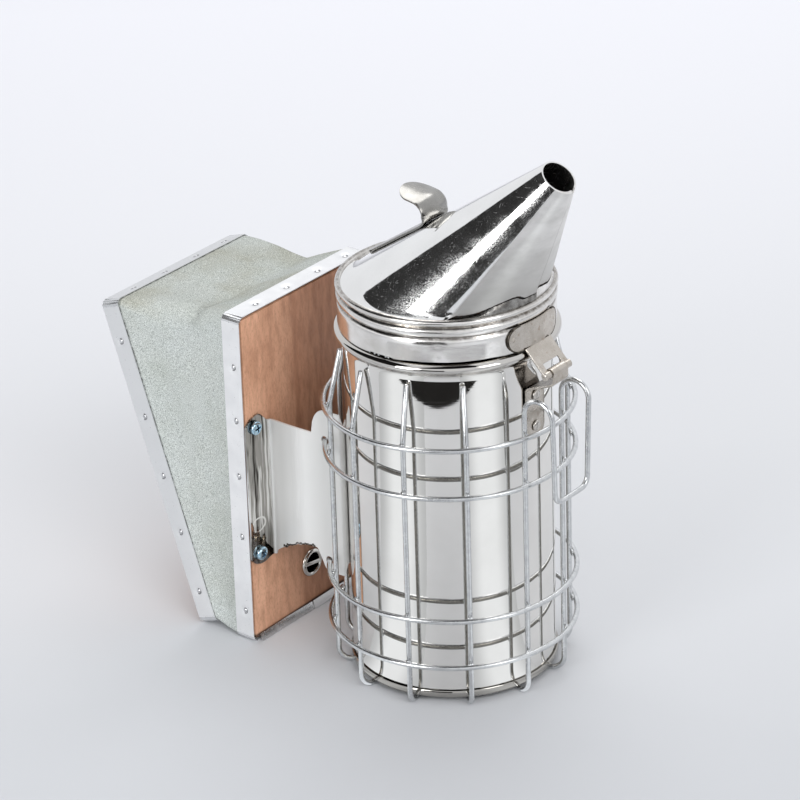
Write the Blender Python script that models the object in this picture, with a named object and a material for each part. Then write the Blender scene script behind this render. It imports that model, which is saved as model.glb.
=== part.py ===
"""Bee smoker: a stainless fire pot inside a wire heat guard, with a hinged cone lid and wedge bellows.

+Z is up, +X points to the spout and the bellows are at -X. The origin is on the ground, below the middle
of the smoker's length. Sizes are in metres. Shapes are drawn round the pot's axis, which the empty named
smoker then sets at its distance from the origin.
"""

import math

import bmesh
import bpy
from mathutils import Matrix, Quaternion, Vector

# Clearance between pieces that lie against each other.
GAP = 0.0003

# Fire pot.
POT_RADIUS = 0.0500
POT_SHEET = 0.0008
POT_NECK = 0.0110
STOP_BEAD_HEIGHT = 0.1780
STOP_BEAD_REACH = 0.0044
STOP_BEAD_HALF = 0.0030
BASE_RECESS = 0.0040
SEAM_RISE = 0.0036

# Air way: the bellows blow through a ferrule in the front board at an inlet tube low on the pot.
AIR_HEIGHT = 0.0255
INLET_RADIUS = 0.0065
INLET_SHEET = 0.0008
INLET_OUTSIDE = 0.0090
INLET_INSIDE = 0.0040
FERRULE_BORE = 0.0052
FERRULE_TUBE = 0.0062
FERRULE_RIM = 0.0074
FERRULE_RIM_HEIGHT = 0.0016
FERRULE_BAR = 0.0018
FERRULE_ASIDE = -0.0040

# Grate that holds the fuel above the inlet.
GRATE_CLEARANCE = 0.0022
GRATE_HEIGHT = 0.0360
GRATE_SHEET = 0.0010
GRATE_HOLE = 0.0036
GRATE_PITCH = 0.0150
GRATE_LEG_WIDTH = 0.0120
GRATE_LEGS = 3

# Wire heat guard.
WIRE = 0.0013
GUARD_STANDOFF = 0.0104
RING_HEIGHTS = (0.0245, 0.0495, 0.1150, 0.1400)
STAVE_COUNT = 12
STAVE_BELOW_BEAD = 0.0090
LEAN_ABOVE_RING = 0.0015
FOOT_BEND = 0.0070
FOOT_UNDER_POT = 0.0045
RING_END_ANGLE = math.radians(167.5)
RING_TAIL = 0.0036

# Hanging hook, bent from the two front staves.
HOOK_SHOULDER = 0.1515
HOOK_TURN = 0.0080
HOOK_BOTTOM = 0.1075
HOOK_CORNER = 0.0055
HOOK_TAPER = 0.0020

# Brackets between the pot and the bellows.
BRACKET_SHEET = 0.0010
BRACKET_SPREAD = 0.0320
FLANGE_WIDTH = 0.0184
SCREW_FROM_WALL = 0.0118
SCREW_HEIGHTS = (0.0483, 0.1169)
TAB_ROUND = 0.0062
WALL_LOW = 0.0550
WALL_HIGH = 0.1170
FLAP_LOW = 0.0435
FLAP_HIGH = 0.1305
FLAP_START = 0.0150
FLAP_END_ANGLE = math.radians(163.0)
BRACKET_BEND = 0.0016

# Cross-head screws of the brackets.
SCREW_SHANK = 0.0015
SCREW_HEAD = 0.0036
SCREW_HEAD_HEIGHT = 0.0023
SCREW_LENGTH = 0.0085
SCREW_SLOT = 0.0008
SCREW_SLOT_DEPTH = 0.0013

# Bellows.
BELLOWS_STANDOFF = 0.0371
BOARD = 0.0100
BELLOWS_WIDTH = 0.1014
FRONT_HEIGHT = 0.1770
REAR_HEIGHT = 0.1725
REAR_TILT = math.radians(18.3)
BOTTOM_GAP = 0.0149
REAR_GROUND_GAP = 0.0004
BAND = 0.0005
BAND_OVERHANG = 0.0008
BAND_CORNER = 0.0028
BAND_LIP = 0.0025
HIDE = 0.0008
HIDE_SETBACK = 0.0015
TOP_VALLEY = 0.0075
TOP_VALLEY_PLACE = 0.38
SIDE_DRAW = 0.0022
BOTTOM_DRAW = 0.0015
SQUEEZE_AXIS_HEIGHT = 0.0050

# Coil spring that opens the bellows.
SPRING_WIRE = 0.0010
SPRING_RADIUS = 0.0140
SPRING_TURNS = 5
SPRING_HEIGHT = 0.0980

# Lid.
LID_SHEET = 0.0008
COLLAR_CLEARANCE = 0.0014
COLLAR_SEAT = 0.0002
COLLAR_HEIGHT = 0.0240
UPPER_BEAD_DROP = 0.0015
UPPER_BEAD_REACH = 0.0012
LOWER_BEAD_DROP = 0.0047
LOWER_BEAD_REACH = 0.0009
COLLAR_BEAD_HALF = 0.0014
SKIRT_DEPTH = 0.0048
CONE_SUNK = 0.0036
CONE_INSET = 0.0021
NOZZLE_OVERHANG = 0.0162
NOZZLE_RISE = 0.0666
NOZZLE_RADIUS = 0.0090
NOZZLE_TILT = math.radians(38.3)
LAP_STEP = 0.0007
NOTCH_DEPTH = 0.0030

# Thumb lift on the back of the cone.
LIFT_SHEET = 0.0010
LIFT_WIDTH = 0.0190
LIFT_START = 0.0080
LIFT_STRAP = 0.0440
LIFT_NECK = 0.0045
LIFT_CURL = 0.0075
LIFT_TONGUE = 0.0130

# Lid hinge.
HINGE_STANDOFF = 0.0138
HINGE_BELOW_BEAD = 0.0075
HINGE_BAR = 0.0013
LEAF_SHEET = 0.0010
STRAP_HALF_LENGTH = 0.0190
STRAP_HEIGHT = 0.0130
PLATE_WIDTH = 0.0196
SLOT_CLEARANCE = 0.0005
SLOT_REACH = 0.0056
LEAF_WIDTH = 0.0140
KNUCKLE_WIDTH = 0.0112
LEAF_LENGTH = 0.0280
LEAF_BEND_BELOW_HINGE = 0.0110
LEAF_BEND_RADIUS = 0.0028
RIVETS_BELOW_HINGE = (0.0321, 0.0161)
RIVET_SHANK = 0.0014
RIVET_HEAD = 0.0027
RIVET_HEAD_HEIGHT = 0.0013

# Facets round a turned piece, and round a small one.
ROUND = 40
SMALL_ROUND = 16

# What follows from the sizes above.
BASE_UNDERSIDE = 2 * WIRE + GAP
POT_TOP = STOP_BEAD_HEIGHT + POT_NECK
GRATE_RADIUS = POT_RADIUS - POT_SHEET - GRATE_CLEARANCE
GUARD_RADIUS = POT_RADIUS + GUARD_STANDOFF
STAVE_RADIUS = GUARD_RADIUS - 2 * WIRE - GAP
STAVE_TOP = STOP_BEAD_HEIGHT - STAVE_BELOW_BEAD
LEAN_START = max(RING_HEIGHTS) + LEAN_ABOVE_RING
FOOT_END = POT_RADIUS - FOOT_UNDER_POT
RING_HOOK_ANGLE = math.pi - math.asin((BRACKET_SPREAD - RING_TAIL) / GUARD_RADIUS)
FRONT_FACE = POT_RADIUS + BELLOWS_STANDOFF
SCREW_ASIDE = BRACKET_SPREAD + SCREW_FROM_WALL
BOARD_HALF_WIDTH = BELLOWS_WIDTH / 2 - BAND - HIDE - 2 * GAP
BOARD_EDGE = BAND + HIDE + 2 * GAP
FRONT_INNER = -FRONT_FACE - BOARD
REAR_INNER_BOTTOM = FRONT_INNER - BOTTOM_GAP
REAR_BOTTOM = REAR_GROUND_GAP + BOARD * math.sin(REAR_TILT)
REAR_UP = Vector((-math.sin(REAR_TILT), 0, math.cos(REAR_TILT)))
REAR_OUT = Vector((-math.cos(REAR_TILT), 0, -math.sin(REAR_TILT)))
COLLAR_RADIUS = POT_RADIUS + COLLAR_CLEARANCE + LID_SHEET
COLLAR_BOTTOM = STOP_BEAD_HEIGHT + STOP_BEAD_HALF + COLLAR_SEAT
COLLAR_TOP = COLLAR_BOTTOM + COLLAR_HEIGHT
CONE_BASE = COLLAR_TOP - CONE_SUNK
CONE_RADIUS = COLLAR_RADIUS - LID_SHEET - GAP - CONE_INSET
NOZZLE_CENTRE = Vector((POT_RADIUS + NOZZLE_OVERHANG, 0, CONE_BASE + NOZZLE_RISE))
NOZZLE_DOWN = Vector((math.cos(NOZZLE_TILT), 0, -math.sin(NOZZLE_TILT)))
HINGE_X = POT_RADIUS + HINGE_STANDOFF
HINGE_Z = STOP_BEAD_HEIGHT - HINGE_BELOW_BEAD
STRAP_LOW = COLLAR_BOTTOM + GAP
STRAP_HIGH = STRAP_LOW + STRAP_HEIGHT
SLOT_WIDTH = KNUCKLE_WIDTH + 2 * SLOT_CLEARANCE
LEAF_BEND = HINGE_Z - LEAF_BEND_BELOW_HINGE
LEAF_BOTTOM = LEAF_BEND - LEAF_LENGTH
RIVET_HEIGHTS = tuple(HINGE_Z - drop for drop in RIVETS_BELOW_HINGE)


def front_point(depth, y, height):
    """A point of the front board: depth outward from its inner face, height up from the ground."""
    return Vector((FRONT_INNER + depth, y, height))


def rear_point(depth, y, height):
    """A point of the rear board: depth outward from its inner face, height up along the board."""
    return Vector((REAR_INNER_BOTTOM, y, REAR_BOTTOM)) + REAR_OUT * depth + REAR_UP * height


HOOK_REACH = STAVE_RADIUS * math.cos(math.pi / STAVE_COUNT) + 2 * HOOK_TURN + WIRE
NOZZLE_REACH = NOZZLE_CENTRE.x + (NOZZLE_RADIUS + LAP_STEP) * math.cos(NOZZLE_TILT)
LENGTH_MIDDLE = (max(HOOK_REACH, NOZZLE_REACH) + rear_point(BOARD, 0, REAR_HEIGHT).x) / 2


# The scene holds only the smoker.
for old in list(bpy.data.objects):
    bpy.data.objects.remove(old)


def axis_empty(name, place, parent=None):
    """An empty that carries pieces: the whole smoker, or a body on its joint's axis."""
    empty = bpy.data.objects.new(name, None)
    bpy.context.collection.objects.link(empty)
    empty.location = place
    empty.parent = parent
    return empty


SMOKER = axis_empty("smoker", (-LENGTH_MIDDLE, 0, 0))
LID_AXIS = axis_empty("lid_axis", (HINGE_X, 0, HINGE_Z), SMOKER)
SQUEEZE_AXIS = axis_empty(
    "squeeze_axis", ((FRONT_INNER + REAR_INNER_BOTTOM) / 2, 0, SQUEEZE_AXIS_HEIGHT), SMOKER
)
GRATE_AXIS = axis_empty("grate_axis", (0, 0, GRATE_HEIGHT), SMOKER)


def finish(name, colour, roughness, metallic):
    material = bpy.data.materials.new(name)
    material.use_nodes = True
    shader = material.node_tree.nodes["Principled BSDF"]
    shader.inputs["Base Color"].default_value = (*colour, 1)
    shader.inputs["Roughness"].default_value = roughness
    shader.inputs["Metallic"].default_value = metallic
    material.diffuse_color = (*colour, 1)
    return material


STAINLESS = finish("polished_stainless", (0.80, 0.79, 0.77), 0.08, 1)
SPRING_STEEL = finish("spring_steel", (0.45, 0.45, 0.46), 0.35, 1)
GALVANISED = finish("galvanised_wire", (0.66, 0.68, 0.70), 0.30, 1)
ALUMINIUM = finish("aluminium_band", (0.88, 0.89, 0.90), 0.35, 1)
PLYWOOD = finish("red_brown_plywood", (0.42, 0.20, 0.11), 0.60, 0)
LEATHER = finish("grey_green_leather", (0.56, 0.61, 0.56), 0.75, 0)
BLUE_ZINC = finish("blue_zinc", (0.45, 0.60, 0.72), 0.25, 1)
BLACK_PLATE = finish("fire_blackened_steel", (0.16, 0.15, 0.14), 0.60, 1)


def mesh_of(bm):
    bmesh.ops.recalc_face_normals(bm, faces=bm.faces)
    mesh = bpy.data.meshes.new("shape")
    bm.to_mesh(mesh)
    bm.free()
    mesh.shade_smooth()
    mesh.set_sharp_from_angle(angle=math.radians(35))
    return mesh


def add(name, data, material, carrier=SMOKER):
    """Puts a shape drawn round the pot's axis in the scene, carried by an empty."""
    piece = bpy.data.objects.new(name, data)
    bpy.context.collection.objects.link(piece)
    if carrier is not SMOKER:
        data.transform(carrier.matrix_basis.inverted())
    piece.parent = carrier
    data.materials.append(material)
    return piece


def combine(piece, operation, mesh, carrier=SMOKER):
    """Cuts a mesh out of a piece or joins it on, through a hidden object that a Boolean reads."""
    tool = add(f"{piece.name}_tool", mesh, piece.data.materials[0], carrier)
    tool.hide_render = True
    tool.display_type = "WIRE"
    boolean = piece.modifiers.new(operation.lower(), "BOOLEAN")
    boolean.operation = operation
    boolean.solver = "EXACT"
    boolean.object = tool
    return tool


def closed_loft(loops):
    """A ring-shaped body through closed loops of equal count, with the last joined to the first."""
    bm = bmesh.new()
    rings = [[bm.verts.new(point) for point in loop] for loop in loops]
    for ring, following in zip(rings, rings[1:] + rings[:1]):
        for i, j in zip(range(len(ring)), list(range(1, len(ring))) + [0]):
            bm.faces.new((ring[i], ring[j], following[j], following[i]))
    return mesh_of(bm)


def turned(profile, steps=ROUND, ring=True):
    """Spins (radius, height) points round Z. A ring's profile is closed, a solid's ends on the axis."""
    bm = bmesh.new()
    points = [bm.verts.new((radius, 0, height)) for radius, height in profile]
    ends = points[1:] + points[:1] if ring else points[1:]
    edges = [bm.edges.new(pair) for pair in zip(points, ends)]
    bmesh.ops.spin(
        bm, geom=points + edges, axis=(0, 0, 1), cent=(0, 0, 0), angle=math.tau, steps=steps, use_merge=True
    )
    bmesh.ops.remove_doubles(bm, verts=bm.verts, dist=1e-6)
    return mesh_of(bm)


def facing(mesh, place, direction):
    """Turns a mesh's Z axis to a direction and moves its origin to a place."""
    turn = Vector(direction).to_track_quat("Z", "Y").to_matrix().to_4x4()
    mesh.transform(Matrix.Translation(place) @ turn)
    return mesh


def rod(radius, start, stop, steps=SMALL_ROUND):
    """A round bar between two points."""
    start = Vector(start)
    along = Vector(stop) - start
    profile = ((0, 0), (radius, 0), (radius, along.length), (0, along.length))
    return facing(turned(profile, steps, ring=False), start, along)


def block(low, high):
    """A box between two corners."""
    low = Vector(low)
    size = Vector(high) - low
    bm = bmesh.new()
    bmesh.ops.create_cube(bm, size=1, matrix=Matrix.Translation(low + size / 2) @ Matrix.Diagonal((*size, 1)))
    return mesh_of(bm)


def merged(meshes):
    """Several separate shapes in one mesh, for a cutter."""
    bm = bmesh.new()
    for mesh in meshes:
        bm.from_mesh(mesh)
    return mesh_of(bm)


def strip(pairs):
    """An open sheet whose two long edges run through the pairs of points."""
    bm = bmesh.new()
    edges = [[bm.verts.new(point) for point in pair] for pair in pairs]
    for (a, b), (c, d) in zip(edges, edges[1:]):
        bm.faces.new((a, b, d, c))
    return mesh_of(bm)


def thicken(piece, thickness):
    """Gives a sheet its thickness, half on each side."""
    solidify = piece.modifiers.new("sheet", "SOLIDIFY")
    solidify.thickness = thickness
    solidify.offset = 0
    solidify.use_even_offset = True


def rounded_path(corners, radii, steps=5):
    """Straight runs between corners, with each inner corner rounded to its own radius."""
    corners = [Vector(corner) for corner in corners]
    path = [corners[0]]
    for before, corner, after, radius in zip(corners, corners[1:], corners[2:], radii):
        back = (before - corner).normalized()
        on = (after - corner).normalized()
        half = back.angle(on) / 2
        centre = corner + (back + on).normalized() * (radius / math.sin(half))
        first = corner + back * (radius / math.tan(half)) - centre
        last = corner + on * (radius / math.tan(half)) - centre
        axis = first.cross(last)
        turn = first.angle(last)
        path += [centre + Quaternion(axis, turn * k / steps) @ first for k in range(steps + 1)]
    return path + [corners[-1]]


def wire(points, radius=WIRE):
    """A round wire along a path."""
    curve = bpy.data.curves.new("wire", "CURVE")
    curve.dimensions = "3D"
    curve.bevel_depth = radius
    curve.bevel_resolution = 2
    curve.use_fill_caps = True
    spline = curve.splines.new("POLY")
    spline.points.add(len(points) - 1)
    for knot, point in zip(spline.points, points):
        knot.co = (*point, 1)
    return curve


def around(radius, angle, height):
    return Vector((radius * math.cos(angle), radius * math.sin(angle), height))


def swell(radius, height, reach, half, steps=6):
    """The half-round outline of a rolled bead, from its top edge to its bottom edge."""
    angles = [math.pi / 2 - math.pi * k / steps for k in range(steps + 1)]
    return [(radius + reach * math.cos(a), height + half * math.sin(a)) for a in angles]


def make_fire_pot():
    inside = POT_RADIUS - POT_SHEET
    foot = BASE_UNDERSIDE + POT_SHEET + GAP
    outer_bead = swell(POT_RADIUS, STOP_BEAD_HEIGHT, STOP_BEAD_REACH, STOP_BEAD_HALF)
    inner_bead = swell(inside, STOP_BEAD_HEIGHT, STOP_BEAD_REACH, STOP_BEAD_HALF - POT_SHEET)
    profile = [(POT_RADIUS, POT_TOP), *outer_bead, (POT_RADIUS, foot)]
    profile += [(inside, foot), *reversed(inner_bead), (inside, POT_TOP)]
    pot = add("fire_pot", turned(profile), STAINLESS)
    inlet = rod(INLET_RADIUS + GAP, (-POT_RADIUS - INLET_OUTSIDE, 0, AIR_HEIGHT), (0, 0, AIR_HEIGHT))
    rivets = [
        rod(RIVET_SHANK + GAP, (inside - POT_SHEET, 0, z), (POT_RADIUS + POT_SHEET, 0, z), 10)
        for z in RIVET_HEIGHTS
    ]
    combine(pot, "DIFFERENCE", merged([inlet, *rivets]))


def make_pot_base():
    leg = POT_RADIUS - POT_SHEET - GAP
    seam = POT_RADIUS + GAP
    low = BASE_UNDERSIDE
    floor = low + BASE_RECESS
    profile = [
        (0, floor + POT_SHEET),
        (leg, floor + POT_SHEET),
        (leg, low + POT_SHEET),
        (seam, low + POT_SHEET),
        (seam, low + SEAM_RISE),
        (seam + POT_SHEET, low + SEAM_RISE),
        (seam + POT_SHEET, low),
        (leg - POT_SHEET, low),
        (leg - POT_SHEET, floor),
        (0, floor),
    ]
    add("pot_base", turned(profile, ring=False), STAINLESS)


def make_inlet_tube():
    bore = INLET_RADIUS - INLET_SHEET
    length = INLET_OUTSIDE + INLET_INSIDE
    profile = [(INLET_RADIUS, length), (INLET_RADIUS, 0), (bore, 0), (bore, length)]
    start = (-POT_RADIUS - INLET_OUTSIDE, 0, AIR_HEIGHT)
    add("air_inlet_tube", facing(turned(profile, SMALL_ROUND), start, (1, 0, 0)), STAINLESS)


def make_grate():
    """A pierced disc on legs that are cut at its rim and bent down to the pot's floor."""
    underside = GRATE_HEIGHT - GRATE_SHEET
    disc = [(0, GRATE_HEIGHT), (GRATE_RADIUS, GRATE_HEIGHT), (GRATE_RADIUS, underside), (0, underside)]
    grate = add("fuel_grate", turned(disc, ROUND, ring=False), BLACK_PLATE, GRATE_AXIS)
    foot = BASE_UNDERSIDE + BASE_RECESS + POT_SHEET + GAP
    radial = GRATE_RADIUS * math.cos(math.asin(GRATE_LEG_WIDTH / 2 / GRATE_RADIUS)) - GRATE_SHEET
    for k in range(GRATE_LEGS):
        leg = block(
            (radial - GRATE_SHEET, -GRATE_LEG_WIDTH / 2, foot),
            (radial, GRATE_LEG_WIDTH / 2, GRATE_HEIGHT - GRATE_SHEET / 2),
        )
        leg.transform(Matrix.Rotation(math.tau * k / GRATE_LEGS, 4, "Z"))
        combine(grate, "UNION", leg, GRATE_AXIS)
    rows = 3
    holes = []
    for row in range(rows):
        count = max(1, 6 * row)
        turn = math.pi / GRATE_LEGS
        for k in range(count):
            centre = around(GRATE_PITCH * row, turn + math.tau * k / count, 0)
            holes.append(rod(GRATE_HOLE, centre, centre + Vector((0, 0, 2 * GRATE_HEIGHT)), 8))
    combine(grate, "DIFFERENCE", merged(holes), GRATE_AXIS)


def stave_foot(angle):
    """The bottom of a stave: it runs under the pot's rim as a foot, then bends up to its height."""
    return [around(FOOT_END, angle, WIRE), around(STAVE_RADIUS, angle, WIRE)]


def make_heat_guard():
    half_step = math.pi / STAVE_COUNT
    tip_radius = POT_RADIUS + GAP + WIRE
    for k in range(1, STAVE_COUNT - 1):
        angle = half_step * (2 * k + 1)
        corners = stave_foot(angle)
        corners += [around(STAVE_RADIUS, angle, LEAN_START), around(tip_radius, angle, STAVE_TOP)]
        path = rounded_path(corners, (FOOT_BEND, 2 * FOOT_BEND), 4)
        add(f"guard_stave_{k:02d}", wire(path), GALVANISED)
    for k, height in enumerate(RING_HEIGHTS):
        end = RING_HOOK_ANGLE if FLAP_LOW < height < FLAP_HIGH else RING_END_ANGLE
        count = 34
        path = [around(GUARD_RADIUS, end * (2 * i / count - 1), height) for i in range(count + 1)]
        add(f"guard_ring_{k + 1}", wire(path), GALVANISED)


def make_hook():
    angle = math.pi / STAVE_COUNT
    shank = around(STAVE_RADIUS, angle, HOOK_SHOULDER)
    over = HOOK_SHOULDER + HOOK_TURN
    outside = shank.x + 2 * HOOK_TURN
    half_width = shank.y - HOOK_TAPER
    side = stave_foot(angle)
    side += [
        Vector((shank.x, shank.y, over)),
        Vector((outside, shank.y, over)),
        Vector((outside, half_width, HOOK_BOTTOM)),
    ]
    mirror = [Vector((p.x, -p.y, p.z)) for p in side]
    bends = (FOOT_BEND, HOOK_TURN * 0.999, HOOK_TURN * 0.999, HOOK_CORNER)
    path = rounded_path(side + mirror[::-1], bends + bends[::-1], 6)
    add("hang_hook", wire(path), GALVANISED)


def bracket_plan():
    """The bracket's bent line seen from above, as (point, part) pairs, for the side at +Y."""
    flange = -FRONT_FACE + GAP + BRACKET_SHEET / 2
    ring = POT_RADIUS + GAP + BRACKET_SHEET / 2
    edge = BRACKET_SPREAD + FLANGE_WIDTH
    meet = math.pi - math.asin(BRACKET_SPREAD / ring)
    corner = around(ring, meet, 0)
    tangent = Vector((-math.sin(meet), math.cos(meet), 0))
    bend = rounded_path(
        (
            (flange, BRACKET_SPREAD + 2 * BRACKET_BEND, 0),
            (flange, BRACKET_SPREAD, 0),
            corner,
            corner + tangent * 4 * BRACKET_BEND,
        ),
        (BRACKET_BEND, BRACKET_BEND),
        4,
    )
    fold = bend[1:6]
    turn_back = bend[6:11]
    steps = 6
    tab = [Vector((flange, edge - FLANGE_WIDTH * k / (steps + 2), 0)) for k in range(steps + 1)]
    wall_ends = (fold[-1].x, turn_back[0].x)
    wall_steps = 16
    wall = [
        Vector((wall_ends[0] + (wall_ends[1] - wall_ends[0]) * k / wall_steps, BRACKET_SPREAD, 0))
        for k in range(1, wall_steps)
    ]
    start = math.atan2(turn_back[-1].y, turn_back[-1].x)
    flap = [around(ring, start + (FLAP_END_ANGLE - start) * k / 5, 0) for k in range(1, 6)]
    return tab, fold, wall, turn_back, flap


def smooth_step(x):
    x = min(1, max(0, x))
    return x * x * (3 - 2 * x)


def bracket_heights(point, on_flap):
    """The lower and upper edge of the bracket where its line passes a point."""
    low_screw, high_screw = SCREW_HEIGHTS
    tab_middle = BRACKET_SPREAD + FLANGE_WIDTH / 2
    across = (abs(point.y) - tab_middle) / (FLANGE_WIDTH / 2)
    if across > -1 + 1e-6 and not on_flap:
        round_end = TAB_ROUND * math.sqrt(max(0.04, 1 - across * across))
        fold_blend = smooth_step(-across)
        low = low_screw - round_end * (1 - fold_blend) - TAB_ROUND * 0.8 * fold_blend
        high = high_screw + round_end * (1 - fold_blend) + (WALL_HIGH - high_screw) * fold_blend
        return low, high
    run = point.x + FRONT_FACE
    to_can = FRONT_FACE - BRACKET_SPREAD
    rise = smooth_step((run - to_can * 0.50) / (FLAP_START * 0.5))
    flare = (1 - min(1, run / (to_can * 0.53))) ** 2
    board_low = low_screw - TAB_ROUND * 0.8
    low = WALL_LOW + (board_low - WALL_LOW) * flare + (FLAP_LOW - WALL_LOW) * rise
    high = WALL_HIGH + (FLAP_HIGH - WALL_HIGH) * rise
    if on_flap:
        low, high = FLAP_LOW + TAB_ROUND, FLAP_HIGH - TAB_ROUND
    return low, high


def make_brackets():
    tab, fold, wall, turn_back, flap = bracket_plan()
    line = [(p, False) for p in tab + fold + wall] + [(p, False) for p in turn_back[:2]]
    line += [(p, True) for p in turn_back[3:] + flap]
    ring_way = math.sqrt(GUARD_RADIUS**2 - BRACKET_SPREAD**2)
    for side, name in ((-1, "right"), (1, "left")):
        pairs = []
        for point, on_flap in line:
            low, high = bracket_heights(point, on_flap)
            y = side * point.y
            pairs.append((Vector((point.x, y, low)), Vector((point.x, y, high))))
        bracket = add(f"bracket_{name}", strip(pairs), STAINLESS)
        thicken(bracket, BRACKET_SHEET)
        screw_y = side * SCREW_ASIDE
        cuts = [
            rod(SCREW_SHANK + GAP, (-FRONT_FACE - BOARD, screw_y, z), (-FRONT_FACE + BOARD, screw_y, z), 10)
            for z in SCREW_HEIGHTS
        ]
        for height in RING_HEIGHTS:
            if FLAP_LOW < height < FLAP_HIGH:
                inner = (-ring_way, side * (BRACKET_SPREAD - BRACKET_BEND), height)
                outer = (-ring_way, side * (BRACKET_SPREAD + BRACKET_BEND), height)
                cuts.append(rod(WIRE * 1.45 + GAP, inner, outer, 12))
        combine(bracket, "DIFFERENCE", merged(cuts))


def make_screws():
    head_seat = BRACKET_SHEET + 2 * GAP
    dome = [(SCREW_HEAD, head_seat), (SCREW_HEAD, head_seat + SCREW_HEAD_HEIGHT * 0.45)]
    dome += [(SCREW_HEAD * 0.82, head_seat + SCREW_HEAD_HEIGHT * 0.85)]
    top = head_seat + SCREW_HEAD_HEIGHT
    profile = [(0, top), (SCREW_HEAD * 0.5, top), *reversed(dome), (SCREW_SHANK, head_seat)]
    profile += [(SCREW_SHANK, head_seat - SCREW_LENGTH + SCREW_SHANK), (0, head_seat - SCREW_LENGTH)]
    for side, side_name in ((-1, "right"), (1, "left")):
        for height, level in zip(SCREW_HEIGHTS, ("lower", "upper")):
            place = Vector((-FRONT_FACE, side * SCREW_ASIDE, height))
            body = facing(turned(profile, 12, ring=False), place, (1, 0, 0))
            screw = add(f"bracket_screw_{side_name}_{level}", body, BLUE_ZINC)
            wing = SCREW_HEAD * 0.62
            bottom = top - SCREW_SLOT_DEPTH
            for half_y, half_z in ((wing, SCREW_SLOT / 2), (SCREW_SLOT / 2, wing)):
                slot = block(
                    place + Vector((bottom, -half_y, -half_z)), place + Vector((top + GAP, half_y, half_z))
                )
                combine(screw, "DIFFERENCE", slot)


def rounded_rectangle(half_width, low, high, corner, steps=3):
    """(y, height) points round a rectangle whose corners are rounded, starting on the bottom run."""
    centres = (
        (half_width - corner, low + corner, -90),
        (half_width - corner, high - corner, 0),
        (corner - half_width, high - corner, 90),
        (corner - half_width, low + corner, 180),
    )
    points = []
    for y, z, start in centres:
        for k in range(steps + 1):
            a = math.radians(start + 90 * k / steps)
            points.append((y + corner * math.cos(a), z + corner * math.sin(a)))
    return points


def make_board(name, place_point, height, carrier, holes):
    outline = rounded_rectangle(BOARD_HALF_WIDTH, BOARD_EDGE, height - BOARD_EDGE, BAND_CORNER - BOARD_EDGE, 2)
    bm = bmesh.new()
    face = bm.faces.new([bm.verts.new(place_point(0, y, h)) for y, h in outline])
    thickness = place_point(BOARD, 0, 0) - place_point(0, 0, 0)
    made = bmesh.ops.extrude_face_region(bm, geom=[face])
    moved = [part for part in made["geom"] if isinstance(part, bmesh.types.BMVert)]
    bmesh.ops.translate(bm, verts=moved, vec=thickness)
    board = add(name, mesh_of(bm), PLYWOOD, carrier)
    if holes:
        combine(board, "DIFFERENCE", merged(holes), carrier)


def make_boards():
    deep = -FRONT_FACE - SCREW_LENGTH - GAP
    outside = -FRONT_FACE + BOARD
    holes = [
        rod(SCREW_SHANK + GAP, (deep, side * SCREW_ASIDE, z),
            (outside, side * SCREW_ASIDE, z), 10)
        for side in (-1, 1)
        for z in SCREW_HEIGHTS
    ]
    outlet = (FRONT_INNER - BOARD, FERRULE_ASIDE, AIR_HEIGHT)
    holes.append(rod(FERRULE_TUBE + GAP, outlet, (outside, FERRULE_ASIDE, AIR_HEIGHT), 24))
    make_board("front_board", front_point, FRONT_HEIGHT, SMOKER, holes)
    make_board("rear_board", rear_point, REAR_HEIGHT, SQUEEZE_AXIS, [])


def make_band(name, place_point, height, carrier, lip):
    """A strip bent round the board's edge over the leather. A lip stands out along the bottom run."""
    loops = []
    for inset, depth in ((0, BOARD), (0, -BAND_OVERHANG), (BAND, -BAND_OVERHANG), (BAND, BOARD)):
        outline = rounded_rectangle(
            BELLOWS_WIDTH / 2 - inset, inset, height - inset, BAND_CORNER - inset
        )
        loop = []
        for y, h in outline:
            on_bottom = h < inset + 1e-6 and depth > 0
            loop.append(place_point(depth + (lip if on_bottom else 0), y, h))
        loops.append(loop)
    add(name, closed_loft(loops), ALUMINIUM, carrier)


def leather_loop(inset, share, depth=-BAND_OVERHANG):
    """One loop of the leather: share 0 is at the front board, 1 at the rear, between them it is drawn in."""
    half_width = BELLOWS_WIDTH / 2 - inset
    corner = BAND_CORNER - inset
    front = rounded_rectangle(half_width, inset, FRONT_HEIGHT - inset, corner, 4)
    rear = rounded_rectangle(half_width, inset, REAR_HEIGHT - inset, corner, 4)
    wave = math.sin(math.pi * share)
    if share < TOP_VALLEY_PLACE:
        valley = smooth_step(share / TOP_VALLEY_PLACE)
    else:
        valley = smooth_step((1 - share) / (1 - TOP_VALLEY_PLACE))
    loop = []
    for (y, h), (rear_y, rear_h) in zip(front, rear):
        point = front_point(depth, y, h).lerp(rear_point(depth, rear_y, rear_h), share)
        level = h / FRONT_HEIGHT
        point.y -= math.copysign(SIDE_DRAW, y) * wave * smooth_step(4 * min(level, 1 - level) + 0.4)
        if level > 0.5:
            point.z -= TOP_VALLEY * valley * smooth_step(10 * (level - 0.9))
        else:
            point.z += BOTTOM_DRAW * wave * smooth_step(10 * (0.1 - level))
        loop.append(point)
    return loop


def make_leather():
    """Grained leather, one skin that runs round the wedge and under both bands."""
    outside = BAND + GAP
    inside = outside + HIDE
    edge = BOARD - HIDE_SETBACK
    shares = (0, 0.12, 0.25, TOP_VALLEY_PLACE, 0.5, 0.65, 0.82, 1)
    outer = [leather_loop(outside, 0, edge)]
    outer += [leather_loop(outside, share) for share in shares]
    outer += [leather_loop(outside, 1, edge)]
    inner = [leather_loop(inside, 0, edge)]
    inner += [leather_loop(inside, share) for share in shares]
    inner += [leather_loop(inside, 1, edge)]
    add("bellows_leather", closed_loft(outer + inner[::-1]), LEATHER)


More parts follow.
